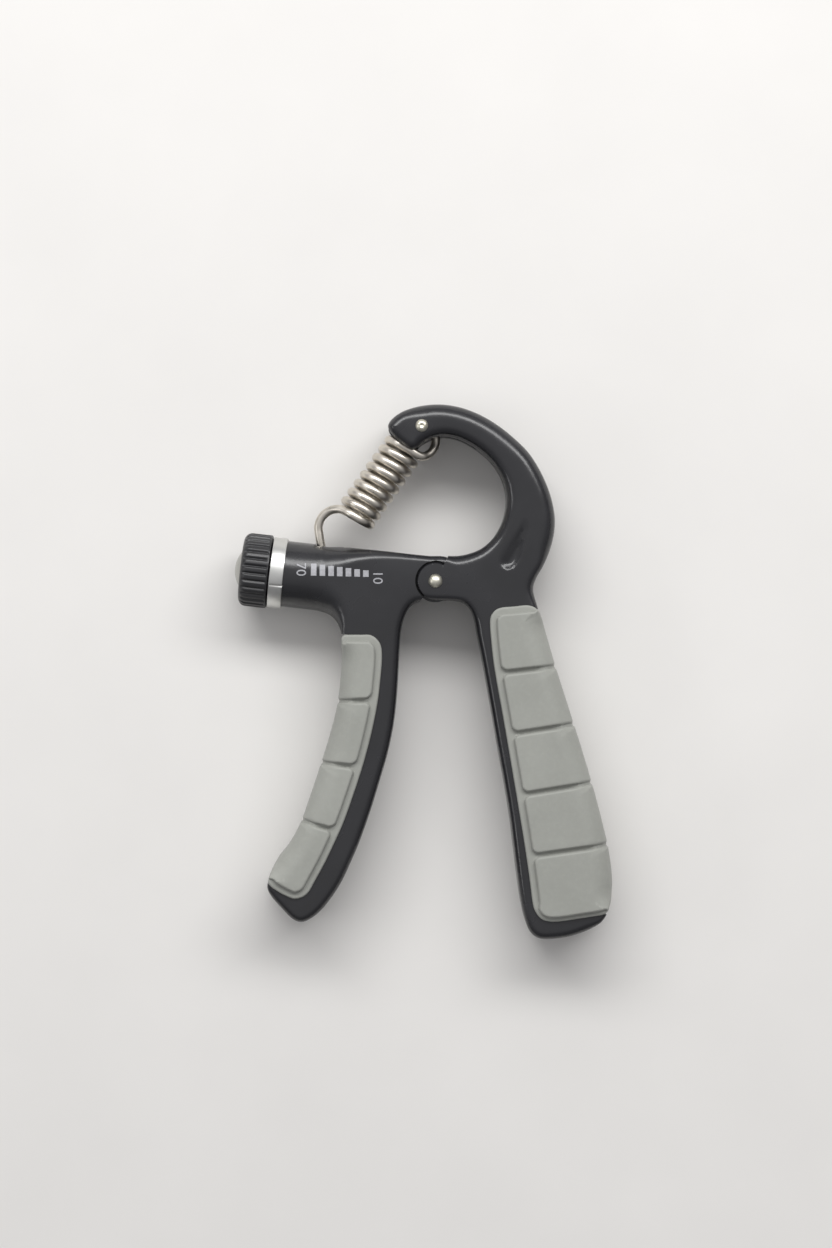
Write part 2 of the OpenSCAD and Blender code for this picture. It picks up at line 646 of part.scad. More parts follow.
module adjusting_knob() {
    edge = 1.6;
    color("#38383b") difference() {
        on_barrel(knob_s0) rotate([0, 90, 0]) rotate_extrude() polygon([[0, 0], [knob_r - edge, 0],
            [knob_r - edge / 4, edge / 2], [knob_r, edge * 1.2], [knob_r, knob_len - 0.5],
            [knob_r - 0.5, knob_len], [0, knob_len]]);
        for (i = [0 : knob_flutes - 1]) on_barrel(knob_s0 + 1.9) rotate([i * 360 / knob_flutes, 0, 0])
            translate([0, 0, knob_r + 0.15]) rotate([0, 90, 0])
                cylinder(r = 0.6, h = knob_len - 3, $fn = 16);
        along_barrel(knob_s0 - 1, knob_s0 + cap_seat, cap_r + fit);
        along_barrel(knob_s0, knob_s0 + cap_seat + head_pocket, fixing_head_r + 0.5);
        along_barrel(knob_s0, knob_s1, fixing_r + 0.4);
        along_barrel(shaft_s0, knob_s1 + 1, thread_r + fit);
    }
}

module lead_screw() {
    color("#b9bbbd") difference() {
        union() {
            along_barrel(shaft_s0 + 0.05, channel_s1 - 0.3, thread_r);
            along_barrel(channel_s1 - 0.4, channel_s1 + tail_len, tail_r);
        }
        // groove for the clip, and the tapped end for the knob screw
        difference() {
            along_barrel(groove_s, groove_s + clip_t + 0.05, thread_r + 1);
            along_barrel(groove_s - 1, groove_s + clip_t + 1, neck_r);
        }
        along_barrel(shaft_s0 - 1, shaft_s0 + fixing_len + 0.8, fixing_r + fit);
    }
}

module knob_screw() {
    s = knob_s0 + cap_seat + head_pocket;
    color("#a9abae") difference() {
        union() {
            along_barrel(s - 1.6, s, fixing_head_r);
            along_barrel(s - 0.1, s + web + fixing_len, fixing_r);
        }
        on_barrel(s - 1.7) rotate([0, 90, 0]) cylinder(r = 1.4, h = 0.9, $fn = 6);
    }
}

module knob_cap() {
    color("#d9dadb") union() {
        along_barrel(knob_s0 - 0.01, knob_s0 + cap_seat - 0.02, cap_r);
        intersection() {
            on_barrel(knob_s0 - cap_rise + dome_r) rotate([0, 90, 0]) rotate_extrude()
                intersection() {
                    circle(r = dome_r, $fn = 96);
                    translate([0, -dome_r]) square([dome_r, 2 * dome_r]);
                }
            along_barrel(knob_s0 - cap_rise - 1, knob_s0, cap_r);
        }
    }
}

module thrust_washer() {
    color("#d8d8d4") difference() {
        along_barrel(bearing_len + 0.05, bearing_len + 0.05 + washer_t, washer_r);
        along_barrel(bearing_len - 1, bearing_len + 2, thread_r + run);
    }
}

module retaining_clip() {
    color("#8f9194") difference() {
        along_barrel(groove_s + 0.02, groove_s + 0.02 + clip_t, clip_r);
        along_barrel(groove_s - 1, groove_s + 2, neck_r + fit);
        on_barrel(groove_s - 1) translate([0, -clip_mouth / 2, 0]) cube([3, clip_mouth, clip_r + 2]);
    }
}

// ---- Slider ---------------------------------------------------------------------------

module slider_block() {
    color("#55585c") difference() {
        union() {
            on_barrel(pin_s - block_left) translate([0, -block_half, -block_half])
                cube([block_left + block_right, 2 * block_half, 2 * block_half]);
            on_barrel(pin_s - cheek_s) translate([0, 0, -cheek_half])
                cube([2 * cheek_s, pin_n, 2 * cheek_half]);
            on_barrel(pin_s, pin_n) cylinder(r = hook_pin_d / 2 + 1, h = 2 * cheek_half, center = true);
        }
        on_barrel(pin_s - cheek_s - 1.4) translate([0, 0, -cheek_gap / 2])
            cube([block_right + cheek_s + 3, pin_n + 5, cheek_gap]);
        along_barrel(pin_s - block_left - 1, pin_s + block_right + 1, thread_r + 0.3);
        on_barrel(pin_s - block_left - 1) rotate([0, 90, 0])
            cylinder(r = nut_af / sqrt(3) + fit, h = 1.1 + nut_len + 0.1, $fn = 6);
        on_barrel(pin_s, pin_n) cylinder(r = hook_pin_d / 2 + fit, h = 20, center = true);
    }
}

module slider_nut() {
    color("#c2a050") difference() {
        on_barrel(pin_s - block_left + 0.1) rotate([0, 90, 0])
            cylinder(r = nut_af / sqrt(3), h = nut_len, $fn = 6);
        along_barrel(pin_s - block_left - 1, pin_s, thread_r + run);
    }
}

module hook_pin() {
    color("#b9bbbd") on_barrel(pin_s, pin_n)
        cylinder(r = hook_pin_d / 2, h = 2 * cheek_half, center = true);
}

// ---- Spring ---------------------------------------------------------------------------

spring_up = unit(anchor_at - hook_at);
spring_side = [spring_up[1], -spring_up[0]];
coil_side = -0.7;                    // the coil lies a little beside the line of the two pins
coil_low = (norm(anchor_at - hook_at) - coil_turns * coil_pitch) * 0.628;
leave_low = -50;                     // turn angle where the lower hook leaves the coil
leave_high = 25;                     // turn angle where the upper hook leaves it
coil_end = norm(anchor_at - hook_at) - coil_low - coil_pitch * (coil_turns + leave_high / 360) - wire_r;

// Point of the coil at a turn angle, which is 0 at the front of its lowest turn.
function coil_point(a) =
    let (q = hook_at + spring_up * (coil_low + coil_pitch * a / 360)
             + spring_side * (coil_side + coil_r * sin(a)))
    [q[0], q[1], coil_r * cos(a)];

// Hook points, square to the spring: [aside, along, z] from the pin that holds the hook.
bend_low = hook_pin_d / 2 + wire_r + 0.15;
bend_high = anchor_d / 2 + wire_r + 0.15;
function near(pin, x, y, z) = [pin[0] + x, pin[1] + y, z];
low_hook = concat(
    [near(hook_at, bend_low, 3.4, 0), near(hook_at, bend_low, 1.2, 0)],
    [for (a = [0 : -30 : -180]) near(hook_at, bend_low * cos(a), bend_low * sin(a), 0)],
    [near(hook_at, -bend_low - 0.1, 2.6, 0), near(hook_at, -3.2, 5.4, 0), near(hook_at, -3.5, 8.3, 0),
     near(hook_at, -2.6, 10.8, 0.2), near(hook_at, -0.8, 12.5, 0.8), near(hook_at, 1.5, 13.2, 1.9)]);
high_hook = concat(
    [near(anchor_at, -0.5, -8.4, 3.5), near(anchor_at, 1.2, -8.3, 2.3), near(anchor_at, 2.9, -7, 1),
     near(anchor_at, 3.9, -5, 0.2), near(anchor_at, 4, -2.6, 0), near(anchor_at, 3.3, -0.4, 0)],
    [for (a = [30 : 32 : 190]) near(anchor_at, bend_high * cos(a), bend_high * sin(a), 0)],
    [near(anchor_at, -bend_high + 0.1, -2.7, 0)]);

coil_a0 = leave_low;
coil_a1 = 360 * coil_turns + leave_high;
coil_steps = ceil((coil_a1 - coil_a0) / 45);
coil = [for (i = [0 : coil_steps]) coil_point(coil_a0 + (coil_a1 - coil_a0) * i / coil_steps)];
wire_path = concat(
    open_part(concat(low_hook, [coil[0], coil[1]]), len(low_hook), 2),
    coil,
    tail_part(concat([coil[len(coil) - 2], coil[len(coil) - 1]], high_hook), 2));

// The smooth curve through pts, as far as point number last, which is left out.
function open_part(pts, last, steps) =
    [for (i = [0 : last - 1], k = [0 : steps - 1])
        blend_point(pts[max(i - 1, 0)], pts[i], pts[i + 1], pts[i + 2], k / steps)];
// The smooth curve through pts after its second point.
function tail_part(pts, steps) =
    let (n = len(pts))
    concat([for (i = [1 : n - 2], k = [0 : steps - 1]) if (i > 1 || k > 0)
        blend_point(pts[i - 1], pts[i], pts[i + 1], pts[min(i + 2, n - 1)], k / steps)],
        [pts[n - 1]]);

// A tube of the given radius along a path, its rings carried on without twist.
module tube(path, r, sides) {
    n = len(path);
    dirs = [for (i = [0 : n - 1]) unit(path[min(i + 1, n - 1)] - path[max(i - 1, 0)])];
    sides_of = [for (i = 0, u = unit(cross(dirs[0], [0, 0, 1])); i < n;
        i = i + 1, u = i < n ? unit(u - (u * dirs[i]) * dirs[i]) : u) u];
    polyhedron(
        points = [for (i = [0 : n - 1], k = [0 : sides - 1])
            let (a = 360 * k / sides, w = cross(dirs[i], sides_of[i]))
            path[i] + r * (cos(a) * sides_of[i] + sin(a) * w)],
        faces = concat(
            [[for (k = [0 : sides - 1]) k]],
            [for (i = [0 : n - 2], k = [0 : sides - 1])
                [i * sides + k, (i + 1) * sides + (k + 1) % sides, i * sides + (k + 1) % sides]],
            [for (i = [0 : n - 2], k = [0 : sides - 1])
                [i * sides + k, (i + 1) * sides + k, (i + 1) * sides + (k + 1) % sides]],
            [[for (k = [sides - 1 : -1 : 0]) (n - 1) * sides + k]]));
}

// Least gap of the wire to itself, between points that lie at least this many steps apart.
skip = 8;
self_gap = min([for (i = [0 : len(wire_path) - 1 - skip], j = [i + skip : len(wire_path) - 1])
    norm(wire_path[i] - wire_path[j])]) - wire_d;
echo(spring_self_gap = self_gap);

module tension_spring() { color("#b7b3a8") tube(wire_path, wire_r, 6); }

// ---- Model ----------------------------------------------------------------------------

stand() {
    palm_front_shell();
    palm_rear_shell();
    palm_pad();
    palm_screws();
    anchor_pin();
    pivot_pin();
    pivot_washers();
    finger_front_shell();
    finger_rear_shell();
    finger_pad();
    finger_screws();
    pivot_bush();
    barrel_collar();
    screw_bearing();
    adjusting_knob();
    lead_screw();
    knob_screw();
    knob_cap();
    thrust_washer();
    retaining_clip();
    slider_block();
    slider_nut();
    hook_pin();
    tension_spring();
}
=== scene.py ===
"""Adjustable hand grip strengthener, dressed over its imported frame.

The moulded shells, the soft pads, the knob, the bright parts and the wound spring are surfaces
worked out with numpy, in millimetres in the design frame: the pivot's axis is Z, z = 0 is the
plane where the shells meet, +Y points to the curved arm. They are put into metres in the
frame of the CAD model when their mesh is made.
"""

import json
import logging
import math
from collections.abc import Callable
from dataclasses import dataclass, field
from enum import Enum

import bmesh
import bpy
import numpy as np
from bpy.types import Material, Mesh, Node, NodeSocket, NodeTree, Object, World
from mathutils import Matrix, Vector
from mathutils.geometry import delaunay_2d_cdt


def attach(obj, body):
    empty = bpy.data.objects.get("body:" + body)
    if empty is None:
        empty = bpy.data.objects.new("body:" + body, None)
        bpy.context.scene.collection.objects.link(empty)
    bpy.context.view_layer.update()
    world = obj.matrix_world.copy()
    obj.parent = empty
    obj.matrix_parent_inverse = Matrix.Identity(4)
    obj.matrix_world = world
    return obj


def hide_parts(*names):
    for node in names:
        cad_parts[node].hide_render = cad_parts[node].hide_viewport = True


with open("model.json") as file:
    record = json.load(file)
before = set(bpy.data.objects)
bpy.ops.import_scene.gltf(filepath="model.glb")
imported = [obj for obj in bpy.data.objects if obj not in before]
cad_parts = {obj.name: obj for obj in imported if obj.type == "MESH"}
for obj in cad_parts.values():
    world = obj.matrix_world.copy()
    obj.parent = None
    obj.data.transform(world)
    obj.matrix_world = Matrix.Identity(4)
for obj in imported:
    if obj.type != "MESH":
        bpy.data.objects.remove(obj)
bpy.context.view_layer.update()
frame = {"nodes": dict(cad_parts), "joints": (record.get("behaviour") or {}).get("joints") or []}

LOG = logging.getLogger("grip")
MM = 0.001
PIVOT = np.array(next(j["pos_m"] for j in frame["joints"] if j["name"] == "squeeze")) / MM
# Height of a handle's face above the plane where the shells meet.
FACE = 9.6
# Rows that stand a turned solid's axis upright.
UPRIGHT = ((0, 0, 1), (1, 0, 0), (0, 1, 0))
# Heights between which a cut passes right through a front half.
THROUGH = (-1, 12)
# Radius and ends of the counterbores for the screws, which are in the rear halves.
COUNTERBORE = (2.6, -11, -7.4)
# Places measured at a time, which bounds the memory that it takes.
CHUNK = 1500
# Points of a filled outline that share a cell of this size are made one.
CELL = 0.14
Points = np.ndarray


class Body(Enum):
    """Moving bodies of the CAD model."""

    PALM = "palm_handle"
    FINGER = "finger_handle"
    ADJUSTER = "adjuster"
    SLIDER = "slider"
    SPRING = "spring"


class Slot(Enum):
    """Material slots of the record that go with the pieces made here."""

    BODY = "body_plastic"
    KNOB = "knob_plastic"
    PAD = "pad_rubber"
    NICKEL = "nickel"
    STEEL = "screw_steel"


# ---- Curves -----------------------------------------------------------------------------


def smooth_closed(knots: Points, steps: int) -> Points:
    """Closed Catmull-Rom curve: each piece is the cubic that passes its two middle knots.

    Args:
        knots: one row for each knot, with any number of columns.
        steps: points made for each piece.

    Returns:
        The curve's points, without a repeated last one.
    """
    p1 = np.asarray(knots, float)
    return _cubic(np.roll(p1, 1, 0), p1, np.roll(p1, -1, 0), np.roll(p1, -2, 0), steps)


def smooth_open(knots: Points, steps: int) -> Points:
    """Open Catmull-Rom curve, whose end knots stand in for the ones that they lack.

    Args:
        knots: one row for each knot.
        steps: points made for each piece.

    Returns:
        The curve's points, the last knot included.
    """
    p = np.asarray(knots, float)
    before, after = np.vstack([p[:1], p[:-2]]), np.vstack([p[2:], p[-1:]])
    return np.vstack([_cubic(before, p[:-1], p[1:], after, steps), p[-1:]])


def _cubic(p0: Points, p1: Points, p2: Points, p3: Points, steps: int) -> Points:
    """Points of the cubics 0.5 (2 p1 + (p2-p0) t + (2p0-5p1+4p2-p3) t2 + (3p1-p0-3p2+p3) t3)."""
    t = (np.arange(steps) / steps)[None, :, None]
    p0, p1, p2, p3 = (p[:, None, :] for p in (p0, p1, p2, p3))
    made = 0.5 * (
        2 * p1
        + (p2 - p0) * t
        + (2 * p0 - 5 * p1 + 4 * p2 - p3) * t**2
        + (3 * p1 - p0 - 3 * p2 + p3) * t**3
    )
    return made.reshape(-1, p1.shape[2])


def unit(v: Points) -> Points:
    """Rows of v at length one."""
    return v / np.maximum(np.linalg.norm(v, axis=-1, keepdims=True), 1e-12)


def beside(points: Points, distance: float) -> Points:
    """The open curve moved to the left of its direction by distance."""
    p = np.asarray(points, float)
    ahead = unit(np.vstack([p[1:], p[-1:]]) - np.vstack([p[:1], p[:-1]]))
    return p + distance * np.stack([-ahead[:, 1], ahead[:, 0]], 1)


def spaced(closed: Points, spacing: float) -> Points:
    """Points at equal steps of about spacing along a closed curve's first two columns."""
    ring = np.vstack([closed, closed[:1]])
    run = np.r_[0, np.cumsum(np.linalg.norm(np.diff(ring[:, :2], axis=0), axis=1))]
    at = np.linspace(0, run[-1], max(8, round(run[-1] / spacing)), endpoint=False)
    return np.stack([np.interp(at, run, ring[:, k]) for k in range(ring.shape[1])], 1)


def grid_over(line: Points, spacing: float) -> Points:
    """Points at equal steps in x and y over the box round a line."""
    low, high = line[:, :2].min(0), line[:, :2].max(0)
    x, y = (np.arange(low[k], high[k], spacing) for k in range(2))
    return np.stack(np.meshgrid(x, y), -1)


def rise(share: Points) -> Points:
    """Quarter circle from 0 to 1, upright where it starts and level where it ends."""
    return np.sqrt(np.clip(1 - (1 - np.clip(share, 0, 1)) ** 2, 0, 1))


def ease(share: Points) -> Points:
    """Smooth step from 0 to 1."""
    t = np.clip(share, 0, 1)
    return t * t * (3 - 2 * t)


# ---- Meshes -----------------------------------------------------------------------------


@dataclass
class Shape:
    """A closed surface in the design frame, in millimetres."""

    points: Points
    faces: list

    def moved(self, basis: Points, origin: Points) -> "Shape":
        """The shape with its x, y, z read along the rows of basis, from origin."""
        return Shape(self.points @ np.asarray(basis, float) + np.asarray(origin, float), self.faces)

    def mirrored(self) -> "Shape":
        """The shape mirrored to the rear of the plane where the shells meet."""
        return Shape(self.points * [1, 1, -1], [face[::-1] for face in self.faces])

    @staticmethod
    def joined(shapes: list) -> "Shape":
        """Several shapes as one, in their order."""
        starts = np.cumsum([0] + [len(shape.points) for shape in shapes]).tolist()
        faces = [[k + at for k in face] for at, shape in zip(starts, shapes) for face in shape.faces]
        return Shape(np.vstack([shape.points for shape in shapes]), faces)


@dataclass
class Rim:
    """Closed anticlockwise outline. Its further columns tell how the rim is shaped there."""

    line: Points

    @staticmethod
    def through(knots: Points, spacing: float = 0.8) -> "Rim":
        """Evenly spaced outline through knots."""
        return Rim(spaced(smooth_closed(np.asarray(knots, float), 16), spacing))

    def nearest(self, places: Points, part: Points | None = None) -> tuple[Points, Points, Points]:
        """Nearest place on the outline, or on the part of it that starts at the marked points.

        Args:
            places: points in the plane.
            part: True for each point of the outline whose step onwards counts.

        Returns:
            Distances, the outline's further columns there, and which places lie inside.
        """
        ab = np.roll(self.line, -1, 0) - self.line
        keep = slice(None) if part is None else part
        a, ab = self.line[keep], ab[keep]
        span = (ab[:, :2] ** 2).sum(1)
        far, values = np.empty(len(places)), np.empty((len(places), a.shape[1] - 2))
        inside = np.empty(len(places), bool)
        for low in range(0, len(places), CHUNK):
            batch = slice(low, low + CHUNK)
            p = places[batch, None, :2]
            t = np.clip(((p - a[:, :2]) * ab[:, :2]).sum(2) / span, 0, 1)
            square = ((p - a[:, :2] - t[..., None] * ab[:, :2]) ** 2).sum(2)
            k = square.argmin(1)
            row = np.arange(len(k))
            above = (a[:, 1] > p[..., 1]) != (a[:, 1] + ab[:, 1] > p[..., 1])
            slope = ab[:, 0] / np.where(ab[:, 1] == 0, 1e-9, ab[:, 1])
            left = p[..., 0] < a[:, 0] + (p[..., 1] - a[:, 1]) * slope
            inside[batch] = (above & left).sum(1) % 2 == 1
            far[batch] = np.sqrt(square[row, k])
            values[batch] = a[k, 2:] + t[row, k][:, None] * ab[k, 2:]
        return far, values, inside

    def measure(self, places: Points) -> tuple[Points, Points]:
        """Depth inside the outline, below 0 outside it, and its columns at the nearest point."""
        far, values, inside = self.nearest(places)
        return np.where(inside, far, -far), values

    def offset(self, depth: Points) -> Points:
        """The outline moved inwards by depth, which is one number or one for each point."""
        a = self.line[:, :2]
        ahead = unit(np.roll(a, -1, 0) - np.roll(a, 1, 0))
        return a + np.asarray(depth).reshape(-1, 1) * np.stack([-ahead[:, 1], ahead[:, 0]], 1)


def filled(rim: Rim, depths: list, spacing: float, more: Points) -> tuple[Points, list]:
    """Triangles that fill an outline, over rings of points along its rim and a grid inside.

    Args:
        rim: the outline.
        depths: each ring's depth, one number or one for each point of the outline.
        spacing: step of the inner grid.
        more: further points, kept where they lie inside.

    Returns:
        Points, the outline's first and in its order, and triangles.
    """
    grid = grid_over(rim.line, spacing)
    grid[1::2, :, 0] += spacing / 2
    grid = grid.reshape(-1, 2)
    rings = [(rim.offset(d), np.broadcast_to(d, len(rim.line))) for d in depths]
    inner = np.vstack([*(ring for ring, _ in rings), more, grid])
    wanted = np.concatenate([*(d for _, d in rings), np.full(len(more) + len(grid), 0.3)])
    depth, _ = rim.measure(inner)
    inner = inner[depth > np.maximum(wanted * 0.97 - 0.01, 0.04)]
    _, first = np.unique(np.round(inner / CELL).astype(int), axis=0, return_index=True)
    every = np.vstack([rim.line[:, :2], inner[np.sort(first)]])
    n = len(rim.line)
    made = delaunay_2d_cdt([Vector(p) for p in every.tolist()], [], [list(range(n))], 1, 1e-7, True)
    source = np.array([ids[0] if ids else -1 for ids in made[3]])
    order = np.full(len(every), -1)
    order[source[source >= 0]] = np.flatnonzero(source >= 0)
    points = np.array([list(p) for p in made[0]])
    place = np.concatenate([order[:n], np.setdiff1d(np.arange(len(points)), order[:n])])
    back = np.empty(len(points), int)
    back[place] = np.arange(len(points))
    points = points[place]
    triangles = back[np.array([list(f) for f in made[2]])]
    doubtful = np.flatnonzero((triangles < n).all(1))
    depth, _ = Rim(points[:n]).measure(points[triangles[doubtful]].mean(1))
    return points, np.delete(triangles, doubtful[depth <= 0], 0).tolist()


def plate(rim: Rim, filling: tuple, top: Points, bottom: Points, seam: float = 0.0) -> Shape:
    """Closed solid between two heights over the same filled outline, with an upright edge.

    Args:
        rim: the outline.
        filling: its points and triangles.
        top: height of the upper side at each point.
        bottom: height of the lower side.
        seam: bevel of the lower edge.

    Returns:
        The solid.
    """
    xy, triangles = filling
    n, m = len(rim.line), len(xy)
    low = xy.copy()
    low[:n] = rim.offset(seam)
    points = [np.c_[xy, top], np.c_[low, bottom]]
    faces = triangles + [[k + m for k in f[::-1]] for f in triangles]
    i = np.arange(n)
    j = np.roll(i, -1)
    if seam:
        points.append(np.c_[xy[:n], np.minimum(bottom[:n] + seam, (bottom[:n] + top[:n]) / 2)])
        faces += np.stack([i + 2 * m, j + 2 * m, j, i], 1).tolist()
        faces += np.stack([i + m, j + m, j + 2 * m, i + 2 * m], 1).tolist()
    else:
        faces += np.stack([i + m, j + m, j, i], 1).tolist()
    return Shape(np.vstack(points), faces)


def prism(outline: Points, low: float, high: float) -> Shape:
    """Upright solid over a closed outline."""
    p = np.asarray(outline, float)[:, :2]
    n = len(p)
    i = np.arange(n)
    sides = np.stack([i, np.roll(i, -1), np.roll(i, -1) + n, i + n], 1).tolist()
    points = np.vstack([np.c_[p, np.full(n, low)], np.c_[p, np.full(n, high)]])
    return Shape(points, sides + [list(range(n))[::-1], list(range(n, 2 * n))])


def lathe(
    profile: Points,
    count: int,
    loop: bool,
    swell: Callable | None = None,
    sweep: tuple = (0, 360),
) -> Shape:
    """Turned solid: (along, radius) becomes (along, radius cos a, radius sin a).

    Args:
        profile: rows of along and radius. It is a loop, or it starts and ends on the axis.
        count: steps round the axis.
        loop: whether the profile closes on itself.
        swell: gives the radius from along, radius and angle.
        sweep: first and last angle in degrees. Less than a full turn gets flat ends.

    Returns:
        The solid.
    """
    p = np.asarray(profile, float)
    whole = abs(sweep[1] - sweep[0]) >= 360
    rings, size = (count if whole else count + 1), len(p)
    turns = np.radians(np.linspace(*sweep, rings, endpoint=not whole))
    a, along = np.meshgrid(turns, p[:, 0], indexing="ij")
    radius = np.broadcast_to(p[:, 1], a.shape)
    radius = swell(along, radius, a) if swell else radius
    points = np.stack([along, radius * np.cos(a), radius * np.sin(a)], -1).reshape(-1, 3)
    i = np.arange(rings if whole else rings - 1)[:, None]
    j = np.arange(size if loop else size - 1)[None, :]
    i2, j2 = (i + 1) % rings, (j + 1) % size
    corners = [i * size + j, i2 * size + j, i2 * size + j2, i * size + j2]
    faces = np.stack(np.broadcast_arrays(*corners), -1).reshape(-1, 4).tolist()
    if not whole:
        last = (rings - 1) * size
        faces += [list(range(size)), list(range(last, last + size))[::-1]]
    return Shape(points, faces)


def swept(path: Points, radius: float, sides: int) -> Shape:
    """Round wire along a path. Each ring's first arm is the last one's, made square to the path.

    Args:
        path: points along the wire.
        radius: of the wire.
        sides: points round it.

    Returns:
        The wire, with bevelled ends.
    """
    ahead = unit(np.vstack([path[1:], path[-1:]]) - np.vstack([path[:1], path[:-1]]))
    arms = [unit(np.cross(ahead[0], [0, 0, 1]))]
    for way in ahead[1:]:
        arms.append(unit(arms[-1] - (arms[-1] @ way) * way))
    arm = np.array(arms)
    other = np.cross(ahead, arm)
    bevel = 0.25
    centre = np.vstack([path[:1] - bevel * ahead[:1], path, path[-1:] + bevel * ahead[-1:]])
    size = np.r_[radius - bevel, np.full(len(path), radius), radius - bevel]
    arm, other = (np.vstack([v[:1], v, v[-1:]])[:, None] for v in (arm, other))
    a = np.arange(sides)[None, :, None] * 2 * math.pi / sides
    ring = np.cos(a) * arm + np.sin(a) * other
    points = (centre[:, None] + size[:, None, None] * ring).reshape(-1, 3)
    i = np.arange(len(centre) - 1)[:, None] * sides
    k = np.arange(sides)[None, :]
    k2 = (k + 1) % sides
    quads = np.stack(np.broadcast_arrays(i + k, i + k2, i + sides + k2, i + sides + k), -1)
    last = (len(centre) - 1) * sides
    ends = [list(range(sides))[::-1], list(range(last, last + sides))]
    return Shape(points, quads.reshape(-1, 4).tolist() + ends)


def linked(name: str, data: bpy.types.ID | None) -> Object:
    """New object of the scene, at the origin."""
    made = bpy.data.objects.new(name, data)
    bpy.context.scene.collection.objects.link(made)
    return made


def baked(piece: Object) -> Mesh:
    """Mesh of a piece with its modifiers applied."""
    graph = bpy.context.evaluated_depsgraph_get()
    return bpy.data.meshes.new_from_object(piece.evaluated_get(graph))


def mesh_object(name: str, shape: Shape, crease: float = 32.0) -> Object:
    """Object at the origin whose mesh is the shape, smooth up to the crease angle in degrees."""
    mesh = bpy.data.meshes.new(name)
    mesh.from_pydata(((shape.points + PIVOT) * MM).tolist(), [], shape.faces)
    edit = bmesh.new()
    edit.from_mesh(mesh)
    bmesh.ops.remove_doubles(edit, verts=edit.verts, dist=1e-7)
    bmesh.ops.recalc_face_normals(edit, faces=edit.faces)
    edit.to_mesh(mesh)
    edit.free()
    made = linked(name, mesh)
    soften(made, crease)
    return made


def soften(piece: Object, crease: float) -> None:
    """Shades the mesh smooth, apart from edges sharper than the crease angle in degrees."""
    mesh = piece.data
    mesh.polygons.foreach_set("use_smooth", np.ones(len(mesh.polygons), bool))
    mesh.set_sharp_from_angle(angle=math.radians(crease))
    mesh.update()


def carve(piece: Object, cuts: list, adds: list = (), crease: float = 32.0) -> Object:
    """Cuts solids off a piece, after others are joined to it, and puts the result in its mesh.

    Args:
        piece: the piece.
        cuts: shapes or objects to take away.
        adds: shapes or objects to join on first.
        crease: angle up to which the result is smooth.

    Returns:
        The piece.
    """
    tools = []
    for operation, shapes in (("UNION", adds), ("DIFFERENCE", cuts)):
        for shape in shapes:
            tool = shape if isinstance(shape, Object) else mesh_object("tool", shape)
            step = piece.modifiers.new("step", "BOOLEAN")
            step.operation, step.solver, step.object = operation, "MANIFOLD", tool
            tools.append(tool)
    made = baked(piece)
    piece.modifiers.clear()
    piece.data = made
    for tool in tools:
        bpy.data.objects.remove(tool)
    soften(piece, crease)
    return piece


def settle(piece: Object, body: Body, slot: Slot, finish: Material, *nodes: str) -> None:
    """Gives a piece its body and its finish, and hides the CAD nodes that it stands for."""
    piece.data.materials.clear()
    piece.data.materials.append(finish)
    if body is not Body.SPRING:
        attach(piece, body.value)
    if nodes:
        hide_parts(*nodes)
    LOG.info("%s: %d faces, rides on %s", piece.name, len(piece.data.polygons), body.value)


# ---- Finishes ---------------------------------------------------------------------------


def colour(text: str) -> tuple[float, float, float, float]:
    """Linear colour from an sRGB hex value: c/12.92 below 0.04045, else ((c+0.055)/1.055)^2.4."""
    parts = (int(text[k : k + 2], 16) / 255 for k in (1, 3, 5))
    red, green, blue = (c / 12.92 if c <= 0.04045 else ((c + 0.055) / 1.055) ** 2.4 for c in parts)
    return red, green, blue, 1.0


def add_node(tree: NodeTree, kind: str, settings: dict, inputs: dict) -> Node:
    """Adds a node with its settings, and its inputs as values or as links from sockets."""
    node = tree.nodes.new(kind)
    for key, value in settings.items():
        setattr(node, key, value)
    for key, value in inputs.items():
        if isinstance(value, NodeSocket):
            tree.links.new(value, node.inputs[key])
        else:
            node.inputs[key].default_value = value
    return node


def ramp(tree: NodeTree, factor: NodeSocket, stops: list) -> NodeSocket:
    """Colour ramp over factor through stops of position and sRGB hex value."""
    node = add_node(tree, "ShaderNodeValToRGB", {}, {"Fac": factor})
    points = node.color_ramp.elements
    while len(points) < len(stops):
        points.new(0.5)
    for point, (position, value) in zip(points, stops):
        point.position, point.color = position, colour(value)
    return node.outputs["Color"]


def noise(tree: NodeTree, at: NodeSocket, scale: float, detail: float, rough: float) -> NodeSocket:
    """Noise over the place that at gives, with scale in waves per unit."""
    inputs = {"Vector": at, "Scale": scale, "Detail": detail, "Roughness": rough}
    return add_node(tree, "ShaderNodeTexNoise", {}, inputs).outputs["Fac"]


def spread(tree: NodeTree, value: NodeSocket, ends: tuple, kind: str = "LINEAR") -> NodeSocket:
    """Value moved from the range of the first two ends to that of the last two."""
    inputs = {"Value": value, **dict(zip(("From Min", "From Max", "To Min", "To Max"), ends))}
    node = add_node(tree, "ShaderNodeMapRange", {"interpolation_type": kind}, inputs)
    return node.outputs["Result"]


def bump(tree: NodeTree, height: NodeSocket, depth_mm: float, **more: NodeSocket) -> NodeSocket:
    """Normal of a relief that is depth_mm deep, over the normal that more may hold."""
    inputs = {"Height": height, "Strength": 1.0, "Distance": depth_mm * MM, **more}
    return add_node(tree, "ShaderNodeBump", {}, inputs).outputs["Normal"]


